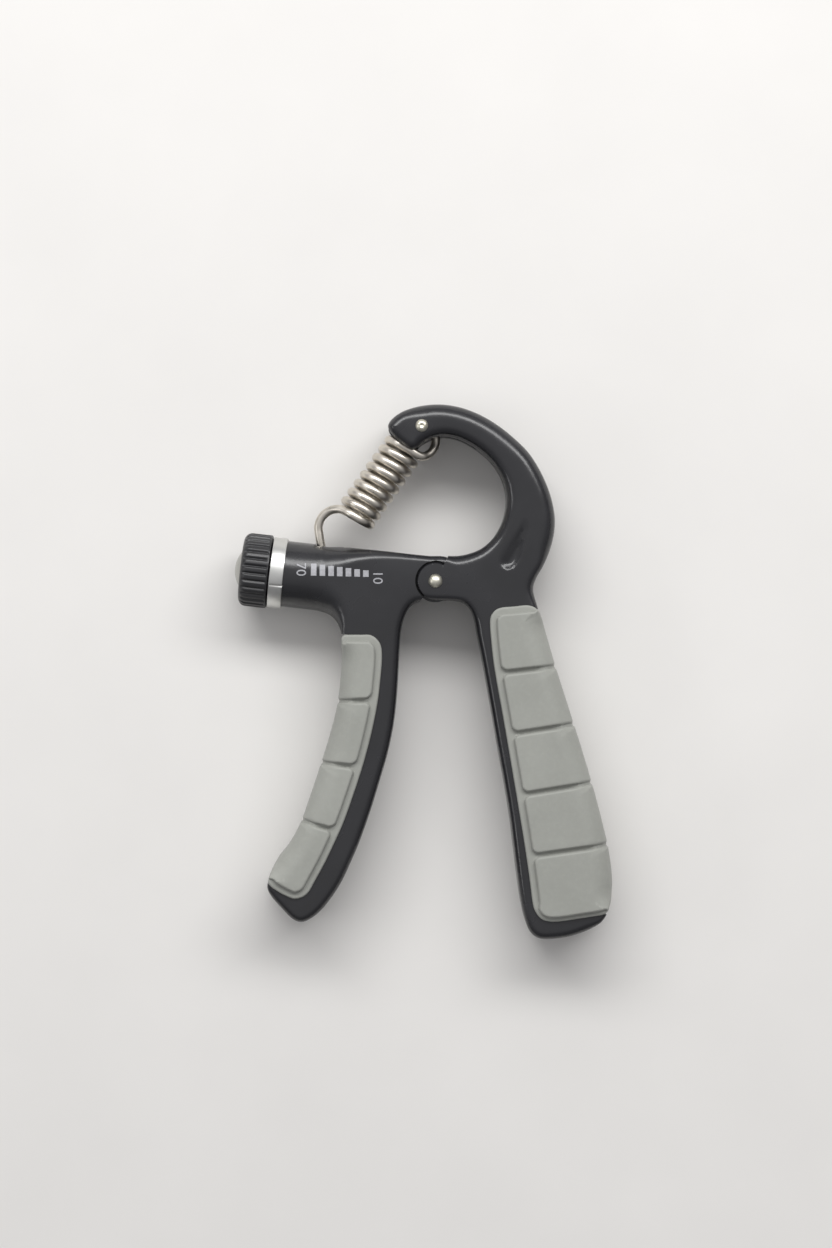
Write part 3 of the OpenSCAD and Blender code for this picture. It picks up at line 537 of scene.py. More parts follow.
@dataclass(frozen=True)
class Finish:
    """What every finish shares: a surface grain and a slow change of tone and gloss."""

    name: str
    tone: str
    tone_2: str
    roughness: float
    grain_mm: float
    grain_depth_mm: float
    cloud_mm: float = 18.0
    gloss_change: float = 0.06
    metallic: float = 0.0

    def build(self) -> Material:
        """Makes the material, from the tone, the gloss and the relief."""
        made = bpy.data.materials.new(self.name)
        made.use_nodes = True
        tree = made.node_tree
        shader = tree.nodes["Principled BSDF"]
        place = self.place(tree)
        cloud = noise(tree, place, 1 / self.cloud_mm, 4.0, 0.55)
        low, high = self.roughness - self.gloss_change, self.roughness + self.gloss_change
        for key, socket in (
            ("Base Color", self.tint(tree, place, cloud)),
            ("Roughness", spread(tree, cloud, (0.25, 0.75, low, high), "SMOOTHSTEP")),
            ("Normal", self.relief(tree, place)),
        ):
            tree.links.new(socket, shader.inputs[key])
        shader.inputs["Metallic"].default_value = self.metallic
        self.extra(shader)
        return made

    def place(self, tree: NodeTree) -> NodeSocket:
        """Object coordinates in millimetres."""
        where = add_node(tree, "ShaderNodeTexCoord", {}, {}).outputs["Object"]
        inputs = {"Vector": where, "Scale": (1000.0, 1000.0, 1000.0)}
        return add_node(tree, "ShaderNodeMapping", {}, inputs).outputs["Vector"]

    def tint(self, tree: NodeTree, place: NodeSocket, cloud: NodeSocket) -> NodeSocket:
        """Base colour, which drifts between the two tones."""
        return ramp(tree, cloud, [(0.3, self.tone), (0.7, self.tone_2)])

    def relief(self, tree: NodeTree, place: NodeSocket) -> NodeSocket:
        """Normal with the grain of the surface."""
        return bump(tree, noise(tree, place, 1 / self.grain_mm, 2.0, 0.5), self.grain_depth_mm)

    def extra(self, shader: Node) -> None:
        """Sets what only some finishes have."""


@dataclass(frozen=True)
class MouldedPlastic(Finish):
    """Moulded thermoplastic: even, with the soft highlights of its tool's surface."""

    def extra(self, shader: Node) -> None:
        """Plain plastic gloss."""
        shader.inputs["IOR"].default_value = 1.53
        shader.inputs["Specular IOR Level"].default_value = 0.5


@dataclass(frozen=True)
class SoftRubber(Finish):
    """Thermoplastic rubber: a fine eroded texture with pale mottling and no hard highlight."""

    mottle: str = "#b3b6ad"

    def tint(self, tree: NodeTree, place: NodeSocket, cloud: NodeSocket) -> NodeSocket:
        """The drifting tone, with pale mottling about 1.4 mm across."""
        base = Finish.tint(self, tree, place, cloud)
        share = spread(tree, noise(tree, place, 0.7, 6.0, 0.7), (0.45, 0.75, 0.0, 0.1))
        inputs = {"Factor": share, 6: base, 7: colour(self.mottle)}
        return add_node(tree, "ShaderNodeMix", {"data_type": "RGBA"}, inputs).outputs[2]

    def extra(self, shader: Node) -> None:
        """Low gloss with a little sheen."""
        shader.inputs["IOR"].default_value = 1.48
        shader.inputs["Sheen Weight"].default_value = 0.12
        shader.inputs["Sheen Roughness"].default_value = 0.5


@dataclass(frozen=True)
class DrawnMetal(Finish):
    """Metal with fine lines along one way, from drawing or turning."""

    line_scale: tuple = (1.0, 1.0, 1.0)
    turned: float = 0.0
    line_depth_mm: float = 0.01

    def relief(self, tree: NodeTree, place: NodeSocket) -> NodeSocket:
        """Grain, and lines that are noise drawn out along one way."""
        base = Finish.relief(self, tree, place)
        inputs = {"Vector": place, "Rotation": (0.0, 0.0, self.turned), "Scale": self.line_scale}
        way = add_node(tree, "ShaderNodeMapping", {}, inputs).outputs["Vector"]
        return bump(tree, noise(tree, way, 1.0, 3.0, 0.5), self.line_depth_mm, Normal=base)


@dataclass(frozen=True)
class Finishes:
    """The finishes of the grip, made once."""

    shell: Material
    knob: Material
    rubber: Material
    spring: Material
    collar: Material
    cap: Material
    pin: Material
    steel: Material
    brass: Material
    acetal: Material
    block: Material
    ink: Material

    @staticmethod
    def made(tilt: float) -> "Finishes":
        """Builds every finish. Turned parts take the barrel's tilt, in radians."""
        turned = {"line_scale": (5.0, 0.05, 0.05), "turned": tilt}
        plated = {"line_depth_mm": 0.002, **turned}
        wanted = {
            # Satin ABS: near black, with broad soft highlights along the rims.
            "shell": MouldedPlastic("abs_satin_black", "#202022", "#242427", 0.25, 0.22, 0.0006),
            # The same plastic, duller from handling, so that the flutes read as grey lines.
            "knob": MouldedPlastic("abs_gloss_black", "#1e1e20", "#232325", 0.38, 0.3, 0.001),
            # Soft rubber: pale, dry and greenish grey, with a fine eroded texture.
            "rubber": SoftRubber("rubber_eroded_grey", "#8b8c86", "#92938d", 0.6, 0.18, 0.012),
            # Nickel-plated spring wire: warm and bright, with a little drawing grain.
            "spring": DrawnMetal(
                "steel_wire_nickel", "#c6c0b5", "#dcd6cc", 0.34, 0.4, 0.004, 3.0, 0.08, 1.0,
                line_scale=(0.3, 0.3, 0.3),
            ),
            # Plated ring: nearly white, with highlights blurred round it by turning marks.
            "collar": DrawnMetal(
                "plated_collar", "#cfcfcc", "#dadad7", 0.36, 0.6, 0.0005, 9.0, 0.03, 1.0, **plated
            ),
            # Plated cap: a clearer mirror than the ring, and darker.
            "cap": DrawnMetal(
                "plated_cap", "#a9a9a5", "#b6b6b2", 0.26, 0.6, 0.0005, 9.0, 0.03, 1.0, **plated
            ),
            # Nickel pins: small warm domes with one soft highlight.
            "pin": DrawnMetal(
                "nickel_pin", "#cdc9b9", "#dcd9cb", 0.38, 0.5, 0.001, 3.0, 0.05, 1.0,
                line_scale=(0.4, 0.4, 0.4),
            ),
            # Zinc-plated screws and spindle: blue-grey, with drawn lines.
            "steel": DrawnMetal(
                "zinc_plated_steel", "#8f9194", "#a9abad", 0.33, 0.4, 0.003, 4.0, 0.07, 1.0,
                line_scale=(3.0, 0.2, 0.2),
            ),
            # Turned brass: yellow, with lines round the axis.
            "brass": DrawnMetal(
                "turned_brass", "#b8924a", "#c9a45c", 0.3, 0.4, 0.003, 4.0, 0.05, 1.0, **turned
            ),
            # Natural acetal: off-white and waxy.
            "acetal": MouldedPlastic("acetal_natural", "#d8d6cc", "#e0ded5", 0.42, 0.3, 0.004),
            # Glass-filled nylon: dark grey and slightly rough.
            "block": MouldedPlastic("nylon_filled_grey", "#4a4c50", "#55575b", 0.5, 0.25, 0.012),
            # Pad-printed ink: grey, thin and patchy.
            "ink": MouldedPlastic(
                "pad_print_ink", "#8f8f93", "#a6a6aa", 0.5, 0.15, 0.004, cloud_mm=0.7
            ),
        }
        return Finishes(**{key: finish.build() for key, finish in wanted.items()})


# ---- Sub-assemblies ---------------------------------------------------------------------


@dataclass
class MouldedForm:
    """A handle body: a plate with a rounded rim and a slightly crowned face."""

    rim: Rim
    half: float = FACE
    crown: float = 0.45
    crown_reach: float = 7.0
    dish: Rim | None = None
    dish_brow: tuple = ((24.4, 17.2), (17.7, 6.1))
    dish_run: float = 3.2
    dish_depth: float = 1.2
    dish_edge: float = 1.8
    dish_rings: tuple = (-0.2, 0.0, 0.2, 0.42, 0.66, 0.92, 1.2, 1.5, 1.8)
    seam: float = 0.14

    def height(self, places: Points) -> Points:
        """Face height: half - r + sqrt(r2 - (r-d)2) at depth d, less the crown and the dish."""
        depth, values = self.rim.measure(places)
        radius = np.maximum(values[:, 0], 0.2)
        d = np.maximum(depth, 0)
        z = self.half - radius + radius * rise(d / radius)
        z -= self.crown * (1 - np.clip(d / self.crown_reach, 0, 1)) ** 2 * (radius < self.half - 1)
        if self.dish is not None:
            inside, _ = self.dish.measure(places)
            start, end = np.array(self.dish_brow)
            along = unit(end - start)
            fall = (places[:, :2] - start) @ [-along[1], along[0]] / self.dish_run
            z -= self.dish_depth * ease(inside / self.dish_edge) * np.clip(fall, 0, 1)
        return np.maximum(z, 0.05)

    def dish_points(self) -> Points:
        """Rings along the dish's wall, kept where they lie at their own depth, and a grid inside."""
        rings = []
        for depth in self.dish_rings:
            ring = self.dish.offset(depth)
            rings.append(ring[np.abs(self.dish.measure(ring)[0] - depth) < 0.05])
        floor = grid_over(self.dish.line, 0.5).reshape(-1, 2)
        return np.vstack([*rings, floor[self.dish.measure(floor)[0] > self.dish_rings[-1] + 0.2]])

    def solid(self, spacing: float) -> Shape:
        """The front half of the body, from the seam to the face."""
        radius = self.rim.line[:, 2]
        depths = [radius * (1 - math.cos(math.radians(a))) for a in (12, 24, 36, 48, 60, 72, 81, 90)]
        more = self.dish_points() if self.dish is not None else np.zeros((0, 2))
        filling = filled(self.rim, [*depths, radius + 0.5], spacing, more)
        top = self.height(filling[0])
        return plate(self.rim, filling, top, np.zeros(len(top)), self.seam)


@dataclass
class PadForm:
    """A soft sleeve: raised fields between grooves, and a thin flange on the handle's face.

    The rim's columns are the flange's width, a mark that is 1 where the sleeve wraps the outer
    side, and the share of the wrap's drop, which runs out towards both ends of that side.
    The seat is the outline of what the handle's core leaves to the sleeve.
    """

    rim: Rim
    seat: Rim
    grooves: Points
    half: float = 11.95
    wrap: float = 6.5
    lip: float = 0.55
    step: float = 1.45
    shallow: float = 0.75
    step_edge: float = 0.75
    corner: float = 2.0
    groove: float = 0.42
    least: float = 10.05
    notch: float = 0.4
    notch_reach: float = 1.0
    notch_slope: float = 0.8
    fade: float = 8.0
    edge_rows: tuple = (-0.16, 0.0, 0.17, 0.38, 0.6, 0.85)
    rim_rings: tuple = (0.08, 0.2, 0.38, 0.6, 0.95, 1.4, 2.0, 2.7, 3.5, 4.4, 5.4)

    def groove_gap(self, places: Points) -> Points:
        """Distance to the nearest groove's line, which goes on past both its ends."""
        starts, ends = self.grooves[0::2], self.grooves[1::2]
        way = unit(ends - starts)
        away = places[:, None, :2] - starts[None]
        return np.abs(away[..., 0] * way[:, 1] - away[..., 1] * way[:, 0]).min(1)

    def within(self, places: Points) -> Points:
        """Depth inside the fields: R - |(R - a, R - b)| from the flange a and the groove b."""
        far, values, _ = self.rim.nearest(places, self.rim.line[:, 3] < 0.5)
        a = far - values[:, 0]
        b = self.groove_gap(places) - self.groove
        r = self.corner
        return r - np.hypot(np.maximum(r - a, 0), np.maximum(r - b, 0))

    def height(self, places: Points) -> Points:
        """Face height: a quarter round at the outer side, a lip all round, and raised fields."""
        outer, values, _ = self.rim.nearest(places, self.rim.line[:, 3] >= 0.5)
        depth, _ = self.rim.measure(places)
        top = self.half - self.wrap * values[:, 2] * (1 - rise(outer / self.wrap))
        bed = np.minimum(top - self.shallow, self.half - self.step)
        z = bed + (top - bed) * rise(self.within(places) / self.step_edge)
        z -= self.lip * (1 - rise(np.maximum(depth, 0) / self.lip))
        free, _ = self.seat.measure(places)
        return np.maximum(z, self.least - 2 * np.maximum(free, 0))

    def along_edges(self, spacing: float) -> Points:
        """Points in rows along the fields' edges: a grid moved along the slope of the depth."""
        grid = grid_over(self.rim.line, spacing).reshape(-1, 2)
        grid = grid[self.rim.measure(grid)[0] > 0.1]
        e = self.within(grid)
        near = np.abs(e - self.step_edge / 2) < 0.6
        grid, e = grid[near], e[near]
        nudge = 0.02
        slope = np.stack([self.within(grid + [nudge, 0]) - e, self.within(grid + [0, nudge]) - e], 1)
        return np.vstack([grid + (row - e)[:, None] * unit(slope) for row in self.edge_rows])

    def solid(self, spacing: float) -> Shape:
        """The whole sleeve before the handle's room is cut out of it."""
        filling = filled(self.rim, list(self.rim_rings), spacing, self.along_edges(0.3))
        top = self.height(filling[0])
        return plate(self.rim, filling, top, -top)


def pad_region(core: Points, back: float, far: float = 15.0) -> Points:
    """Outline of what lies to the right of a handle's core line, back away from it."""
    first, last = unit(core[1] - core[0]), unit(core[-1] - core[-2])
    edge = beside(core, -back)
    edge[0] += back * first
    edge[-1] -= back * last
    right = np.array([[last[1], -last[0]], [first[1], -first[0]]])
    return np.vstack([edge, edge[-1] + far * right[0], edge[0] + far * right[1]])


def body_room(core: Points, half: float) -> Object:
    """The room that a handle's body takes up inside a pad."""
    box = prism(np.array([[-100, -150], [100, -150], [100, 50], [-100, 50]]), -half, half)
    return carve(mesh_object("tool", box), [prism(pad_region(core, 0.1), -12, 12)])


def about(profile: Points, sweep: tuple, count: int, at: tuple = (0.0, 0.0)) -> Shape:
    """Solid turned about an upright axis, which is the pivot's or at, from radii and heights."""
    made = lathe(np.asarray(profile, float)[:, ::-1], count, True, sweep=sweep)
    return made.moved(UPRIGHT, [*at, 0])


def drum(radius: float, low: float, high: float, at: tuple = (0.0, 0.0)) -> Shape:
    """Upright cylinder."""
    made = lathe([[low, 0], [low, radius], [high, radius], [high, 0]], 64, False)
    return made.moved(UPRIGHT, [*at, 0])


def rows(*runs: tuple) -> Points:
    """Knots from runs of places and the values that go with them."""
    return np.array([[*place, *values] for places, values in runs for place in places], float)


def half_shells(name: str, front: Shape, cuts: list, screws: tuple) -> list:
    """Front and rear half of a handle's body.

    Args:
        name: of the handle.
        front: surface of the front half. The rear half is its mirror image.
        cuts: what the front half lacks.
        screws: places of the counterbores in the rear half.

    Returns:
        The front piece and the rear piece.
    """
    rear_cuts = [cut.mirrored() for cut in cuts] + [drum(*COUNTERBORE, at) for at in screws]
    return [
        carve(mesh_object(f"{name}_shell_{side}", shape), lacks)
        for side, shape, lacks in (("front", front, cuts), ("rear", front.mirrored(), rear_cuts))
    ]


@dataclass
class PalmHandle:
    """The right handle with its curved arm, its pad and the two domed pins."""

    pad_wall: float = 3.0
    ear_r: float = 5.4
    ear_round: float = 1.2
    hub_r: float = 6.4
    ear_face: float = 4.6
    pivot_bore: float = 1.63
    anchor_bore: float = 1.43
    seam: tuple = (62.7, 268.0)
    anchor: tuple = (-3.9, 44.4)
    hook_room_r: float = 5.3
    slot_reach: float = 17.0
    slot_z: tuple = (-1.2, 1.44)
    coil_room: tuple = ((5.75, -2), (17, -2), (17, 6.7), (5.75, 6.7))
    screws: tuple = ((24.3, 31.5), (15.0, -0.5), (26.5, -36.0), (35.5, -82.0))
    inner: tuple = (
        (11.3, -11.5), (12.1, -16), (13.5, -23), (15.5, -34), (17.6, -46), (19.6, -57),
        (21.4, -68), (23, -81), (24.2, -90),
    )
    cap: tuple = (
        (25.4, -96), (26.8, -100), (29.2, -102.2), (32.5, -102.6), (38.5, -101.8),
        (44.6, -99.6), (48.1, -96.9),
    )
    outer: tuple = (
        (50.2, -92), (50.7, -85), (49.7, -77), (47.5, -67.5), (44.8, -57.5), (41.5, -46.5),
        (38, -35.5), (34.5, -24.5), (31.3, -13.5), (29.1, -7),
    )
    arm_foot: tuple = ((28, -2.5), (28.9, 0.8), (31, 4.5))
    arm_outer: tuple = (
        (32.9, 9), (34.1, 14), (34.2, 19), (32.9, 25), (30.4, 31), (27, 36.5), (22.7, 40.9),
        (17.5, 45), (12, 48.1), (6.5, 50), (1, 50.7), (-4.5, 50.2), (-9.2, 48.7), (-12.3, 46.6),
    )
    arm_tip: tuple = ((-13.6, 44.4), (-12.6, 42.2), (-9.9, 39.6), (-7.5, 38), (-5.6, 38.1))
    arm_inner: tuple = (
        (-3.6, 39.6), (-0.6, 41.1), (2.8, 41.6), (6.7, 40.8), (10.5, 38.9), (14.3, 36.1),
        (17.3, 32.7), (19.5, 28.5), (20.4, 24), (20.1, 20), (18.8, 16), (16.5, 12.3),
        (13.3, 9.4), (9.5, 7.8), (6, 7.2),
    )
    end: tuple = (
        (2.5, 7.2), (-1.5, 6.9), (-4.8, 5), (-6.5, 1.5), (-6.2, -2.4), (-3.8, -4.9), (0, -5.5),
        (4.5, -5.6), (7.9, -6.2), (10.1, -8.2),
    )
    dish: tuple = (
        (18.3, 4.2), (17.7, 6.1), (18.3, 9), (20.6, 11.9), (22.9, 14.8), (24.4, 17.2), (25.6, 18.3),
        (26.6, 17), (26.8, 14.6), (25.8, 10.5), (24.5, 6.4), (22.8, 3.9), (20.5, 3),
    )
    pad_left: tuple = (
        (26.4, -7), (22.5, -7.3), (18.6, -7.7), (16.6, -8.9), (15.6, -11.4), (16, -18), (17, -26),
        (19.5, -40), (22, -54.5), (25, -72.5), (26.8, -84.5), (27.7, -91.6),
    )
    pad_foot: tuple = (
        (28.5, -94.4), (30.2, -96.5), (32.6, -97.3), (36, -97.2), (42, -96.3), (45.5, -95.75),
        (47.5, -95.4),
    )
    pad_corner: tuple = ((48.8, -94.8), (49.6, -93.4), (50.4, -90.5))
    pad_top: tuple = ((30.3, -10.3), (28.9, -8))
    grooves: tuple = (
        (18.8, -26.3), (33.8, -24.6), (21.6, -43.8), (39.7, -41), (24.4, -61.1), (44, -57.9),
        (27, -78.6), (48.2, -75.6),
    )

    def core(self) -> Points:
        """Line of the handle's core under the pad."""
        edge = [*self.outer[1:9], (29.4, -8)]
        return np.vstack([[(46.6, -95), (47.2, -91.5)], beside(smooth_open(edge, 6), self.pad_wall)])

    def shell(self) -> Shape:
        """Front half of the body, whose rim is widest along the outside of the arm."""
        knots = rows(
            (self.inner, [2.2]), (self.cap[:-1], [2.2]), (self.cap[-1:], [1.0]),
            (self.outer[:1], [1.0]), (self.outer[1:], [1.8]), (self.arm_foot, [2.6]),
            (self.arm_outer[:-2], [3.8]), (self.arm_outer[-2:], [3.0]), (self.arm_tip, [2.3]),
            (self.arm_inner, [2.9]), (self.end, [1.7]),
        )
        dish = Rim.through(self.dish, 0.28)
        return MouldedForm(Rim.through(knots), dish=dish).solid(0.9)

    def cuts(self) -> list:
        """What both halves lack: the pad's seat, the hub's room and the room for the hook."""
        low = self.ear_r - self.ear_round
        bevel = [
            (low + self.ear_round * math.cos(a), FACE - self.ear_round * (1 - math.sin(a)))
            for a in np.radians(np.linspace(90, 0, 7))
        ]
        ring = [(self.ear_r, -1), (12.5, -1), (12.5, 11), (low, 11), *bevel]
        x, y = self.anchor
        reach = self.slot_reach
        turns = np.radians(range(205, 370, 5))
        arc = [(x + reach * math.cos(a), y + reach * math.sin(a)) for a in turns]
        return [
            prism(pad_region(self.core(), 0.0), *THROUGH),
            about(ring, self.seam, 72),
            drum(self.hub_r, -1, self.ear_face),
            drum(self.pivot_bore, *THROUGH),
            drum(self.anchor_bore, *THROUGH, self.anchor),
            drum(self.hook_room_r, -1, 1.45, self.anchor),
            prism([self.anchor, *arc], *self.slot_z),
            about(self.coil_room, (180, 295), 40, self.anchor),
        ]

    def pad(self) -> Object:
        """The grey sleeve, notched along its outer edge where the grooves run over it."""
        side = (*self.pad_corner, *self.outer[1:9], *self.pad_top)
        knots = rows((self.pad_left, [1.8, 0]), (self.pad_foot, [1.1, 0]), (side, [1.1, 1]))
        return pad_piece("palm_grip_pad", knots, np.array(self.grooves), self.core())

    def build(self, finishes: Finishes) -> None:
        """Builds and dresses every piece of the palm handle."""
        pieces = half_shells("palm", self.shell(), self.cuts(), self.screws)
        for piece, node in zip(pieces, ("palm_front_shell", "palm_rear_shell")):
            settle(piece, Body.PALM, Slot.BODY, finishes.shell, node)
        settle(self.pad(), Body.PALM, Slot.PAD, finishes.rubber, "palm_pad")
        anchor = domed_pin(1.4, 1.8, 0.9, 0.35, self.anchor)
        pivot = domed_pin(1.6, 2.0, 1.25, 0.0, (0.0, 0.0))
        for name, shape in (("anchor_pin", anchor), ("pivot_pin", pivot)):
            pin = mesh_object(f"{name}_domed", shape)
            settle(pin, Body.PALM, Slot.NICKEL, finishes.pin, name)


def pad_piece(name: str, knots: Points, grooves: Points, core: Points) -> Object:
    """Soft sleeve on a handle.

    Args:
        name: of the piece.
        knots: outline, with the flange's width and the mark of the outer side.
        grooves: inner and outer end of each groove.
        core: line of the handle's core.

    Returns:
        The piece.
    """
    rim = Rim.through(knots, 0.3)
    flange = rim.line[rim.line[:, 3] < 0.5, :2]
    gap = np.linalg.norm(rim.line[:, None, :2] - flange[None], axis=2).min(1)
    rim.line = np.c_[rim.line, ease(gap / PadForm.fade)]
    form = PadForm(rim, Rim(pad_region(core, 0.1)), grooves)
    near = ease((form.notch_reach - form.groove_gap(rim.line[:, :2])) / form.notch_slope)
    rim.line[:, :2] = rim.offset(form.notch * near * (rim.line[:, 3] >= 0.5))
    piece = carve(mesh_object(name, form.solid(0.6), 50), [body_room(core, 9.7)], crease=50)
    return piece


def domed_pin(radius: float, head: float, dome: float, dimple: float, at: tuple) -> Shape:
    """Upright pin with a low dome at each end, an arc over the head, and a dimple in its middle."""
    ball = (head * head + dome * dome) / (2 * dome)
    turn = np.linspace(math.asin(head / ball), 0, 22)
    arc = np.stack([FACE + dome - ball + ball * np.cos(turn), ball * np.sin(turn)], 1)
    arc[:, 0] -= dimple * ease(1 - arc[:, 1] / 0.9)
    top = np.vstack([[9.3, radius], [9.3, head - 0.15], [9.45, head], arc])
    return lathe(np.vstack([top[::-1] * [-1, 1], top]), 64, False).moved(UPRIGHT, [*at, 0])


@dataclass
class Barrel:
    """Frame of the barrel: s along its axis towards the pivot, n square to it, up."""

    at: tuple = (-43.4, 2.2)
    tilt: float = math.radians(6.5)
    radius: float = 9.5

    def basis(self) -> Points:
        """Rows that s, n and z run along."""
        c, s = math.cos(self.tilt), math.sin(self.tilt)
        return np.array([[c, -s, 0], [s, c, 0], [0, 0, 1]])

    def point(self, s: float, n: float) -> tuple:
        """Place of s, n in the plane."""
        p = np.array([s, n, 0]) @ self.basis()
        return self.at[0] + p[0], self.at[1] + p[1]

    def put(self, shape: Shape) -> Shape:
        """A shape drawn in s, n, z, put into the design frame."""
        return shape.moved(self.basis(), [*self.at, 0])

    def rod(self, radius: float, low: float, high: float) -> Shape:
        """Cylinder along the barrel."""
        return self.put(lathe([[low, 0], [low, radius], [high, radius], [high, 0]], 64, False))

    def block(self, s: tuple, n: tuple, z: tuple) -> Shape:
        """Box along the barrel."""
        corners = np.array([[s[0], n[0]], [s[1], n[0]], [s[1], n[1]], [s[0], n[1]]])
        return self.put(prism(corners, z[0], z[1]))


@dataclass
class FingerHandle:
    """The left lever with the hub and the barrel, its pad, the collar and the printed scale."""

    barrel: Barrel = field(default_factory=Barrel)
    pad_wall: float = 3.0
    screws: tuple = ((-18.0, -9.5), (-21.3, -36.0), (-31.0, -69.0))
    collar_w: float = 4.1
    collar_r: float = 10.2
    ear_gap: tuple = (232, 423)
    bush_bore: float = 2.83
    barrel_bore: float = 6.53
    block_room: float = 4.79
    block_run: tuple = (3.6, 32.7)
    slot_run: tuple = (8.0, 32.7)
    slot_top: float = 3.65
    bars: int = 7
    bar_w: float = 1.6
    bar_ends: tuple = ((-35.6, -20.7), (1.5, 1.15), (4.95, 3.0))
    figure_size: float = 3.9
    figures_at: tuple = (("70", -38.5, 3.3), ("10", -16.6, 1.0))

    top: tuple = (
        (3, 6.9, 1.7), (-2, 7.2, 1.8), (-7, 7.7, 1.9), (-12, 8.3, 2.2), (-17.5, 8.9, 3.0),
        (-21.5, 9.3, 4.2), (-25, 9.7, 5.8), (-29, 10.12, 7.6), (-33, 10.58, 8.9),
        (-37, 11.03, 9.5),
    )
    under: tuple = (
        (-39, -7.87, 9.5), (-35.8, -8.25, 9.4), (-33, -8.75, 9.0), (-30.7, -9.6, 7.4),
        (-29, -10.9, 5.0), (-27.7, -12.9, 2.9), (-26.95, -15.3, 1.3),
    )
    outer: tuple = (
        (-26.8, -18), (-26.9, -23), (-27.4, -29.5), (-28.2, -35.5), (-30, -43), (-32.6, -51.5),
        (-35.4, -60), (-38.6, -69), (-41.8, -75), (-45.2, -79.5), (-47.2, -83.5),
    )
    end: tuple = (
        (-48.1, -87.6), (-46.8, -90.6), (-43.8, -94), (-40.8, -96.9), (-38.2, -97.7), (-35.4, -96.5),
    )
    inner: tuple = (
        (-32.5, -94.1), (-29.5, -90.3), (-26.8, -86), (-24, -80), (-21.6, -74.3), (-18.5, -65.5),
        (-15.9, -57), (-13.6, -49), (-11.9, -40.5), (-11, -32), (-10.5, -23), (-10.1, -16),
        (-9.3, -11.5), (-7.6, -7.8), (-4.8, -6),
    )
    hub: tuple = ((-1, -6.2), (3, -5.8), (6, -3.2), (7, 0.5), (5.8, 4.6))
    pad_top: tuple = ((-26.9, -16.5), (-26.85, -18))
    pad_corner: tuple = ((-47.15, -83.4), (-47.8, -86.0))
    pad_right: tuple = (
        (-47.0, -87.3), (-45.2, -88.6), (-42.8, -89.9), (-40.4, -90.8), (-38, -90.3),
        (-36.2, -88.8), (-34.6, -86), (-31.5, -80.3), (-28.8, -74.6), (-26.3, -69), (-23.1, -60),
        (-20.4, -51.5), (-18.2, -43), (-16.6, -35), (-15.8, -28.5), (-15.3, -22), (-15.8, -18),
        (-18.2, -15.6), (-21.4, -15.4), (-24.4, -15.4), (-26.1, -15.5),
    )
    grooves: tuple = (
        (-18.6, -34.1), (-27.8, -34.5), (-23.3, -53), (-32.7, -52), (-29.5, -71), (-38.2, -68.6),
    )

    def form(self) -> MouldedForm:
        """The body with the barrel, whose rim radius grows into the barrel's own radius."""
        r = self.barrel.radius
        ends = [
            (*self.barrel.point(s, n), r)
            for s, n in ((0, r), (-7, r), (-14, r), (-15, 0), (-14, -r), (-7, -r), (0, -r))
        ]
        knots = np.vstack([
            self.top, ends, self.under,
            rows(
                (self.outer[:-1], [1.8]), (self.outer[-1:], [0.9]), (self.end[:1], [0.9]),
                (self.end[1:], [2.0]), (self.inner, [2.2]), (self.hub, [1.6]),
            ),
        ])
        return MouldedForm(Rim.through(knots))

    def core(self) -> Points:
        """Line of the handle's core under the pad."""
        edge = [(-26.7, -15.2), *self.outer[1:9], (-44.5, -78.5)]
        line = beside(smooth_open(edge, 6), self.pad_wall)
        return np.vstack([line, [(-43.7, -83.2), (-44, -86.9)]])

    def cuts(self) -> list:
        """What both halves lack: the pad's seat, the ear's room and the barrel's inside."""
        ring = [(6, -1), (14, -1), (14, 11), (4.4, 11), (4.4, 4), (6, 4)]
        b = self.barrel
        return [
            prism(pad_region(self.core(), 0.0), *THROUGH),
            about(ring, self.ear_gap, 72),
            drum(5.8, 4, 12),
            drum(self.bush_bore, -1, 5),
            b.block((-30, 0), (-12, 12), THROUGH),
            b.rod(self.barrel_bore, -6, 3.8),
            b.block(self.block_run, (-self.block_room, self.block_room), (-1, self.block_room)),
            b.block(self.slot_run, (0, 13), (-1, self.slot_top)),
            b.rod(1.8, 32, 36.1),
        ]

    def scale_print(self, form: MouldedForm, finishes: Finishes) -> None:
        """Seven bars that shrink towards the pivot, and a plain number at each end."""
        count = 7
        step = np.linspace(0, 1, count)
        across, up = np.meshgrid(step, step, indexing="ij")
        bars = []
        for share in np.arange(self.bars) / (self.bars - 1):
            left, low, high = (a + share * (b - a) for a, b in self.bar_ends)
            flat = np.stack([left + self.bar_w * across, low + (high - low) * up], -1).reshape(-1, 2)
            z = form.height(flat)
            points = np.vstack([np.c_[flat, z + 0.03], np.c_[flat, z - 0.12]])
            bars.append(Shape(points, block_faces(count)))
        for name, shapes in (("scale_bars", bars), ("scale_figures", self.figures(form))):
            piece = mesh_object(name, Shape.joined(shapes))
            settle(piece, Body.FINGER, Slot.BODY, finishes.ink)

    def figures(self, form: MouldedForm) -> list:
        """Plain numbers at the ends of the scale, turned to read from the knob's side."""
        made = []
        for text, x, y in self.figures_at:
            curve = bpy.data.curves.new("figures", "FONT")
            curve.body, curve.size, curve.extrude = text, self.figure_size, 0.05
            curve.align_x, curve.align_y = "CENTER", "CENTER"
            glyphs = linked("figures", curve)
            finer = glyphs.modifiers.new("finer", "SUBSURF")
            finer.subdivision_type, finer.levels, finer.render_levels = "SIMPLE", 3, 3
            mesh = baked(glyphs)
            co = np.zeros(len(mesh.vertices) * 3)
            mesh.vertices.foreach_get("co", co)
            co = co.reshape(-1, 3)
            flat = np.stack([x + co[:, 1], y - co[:, 0]], 1)
            z = form.height(flat) + np.where(co[:, 2] > 0, 0.045, -0.1)
            made.append(Shape(np.c_[flat, z], [list(p.vertices) for p in mesh.polygons]))
            bpy.data.objects.remove(glyphs)
        return made

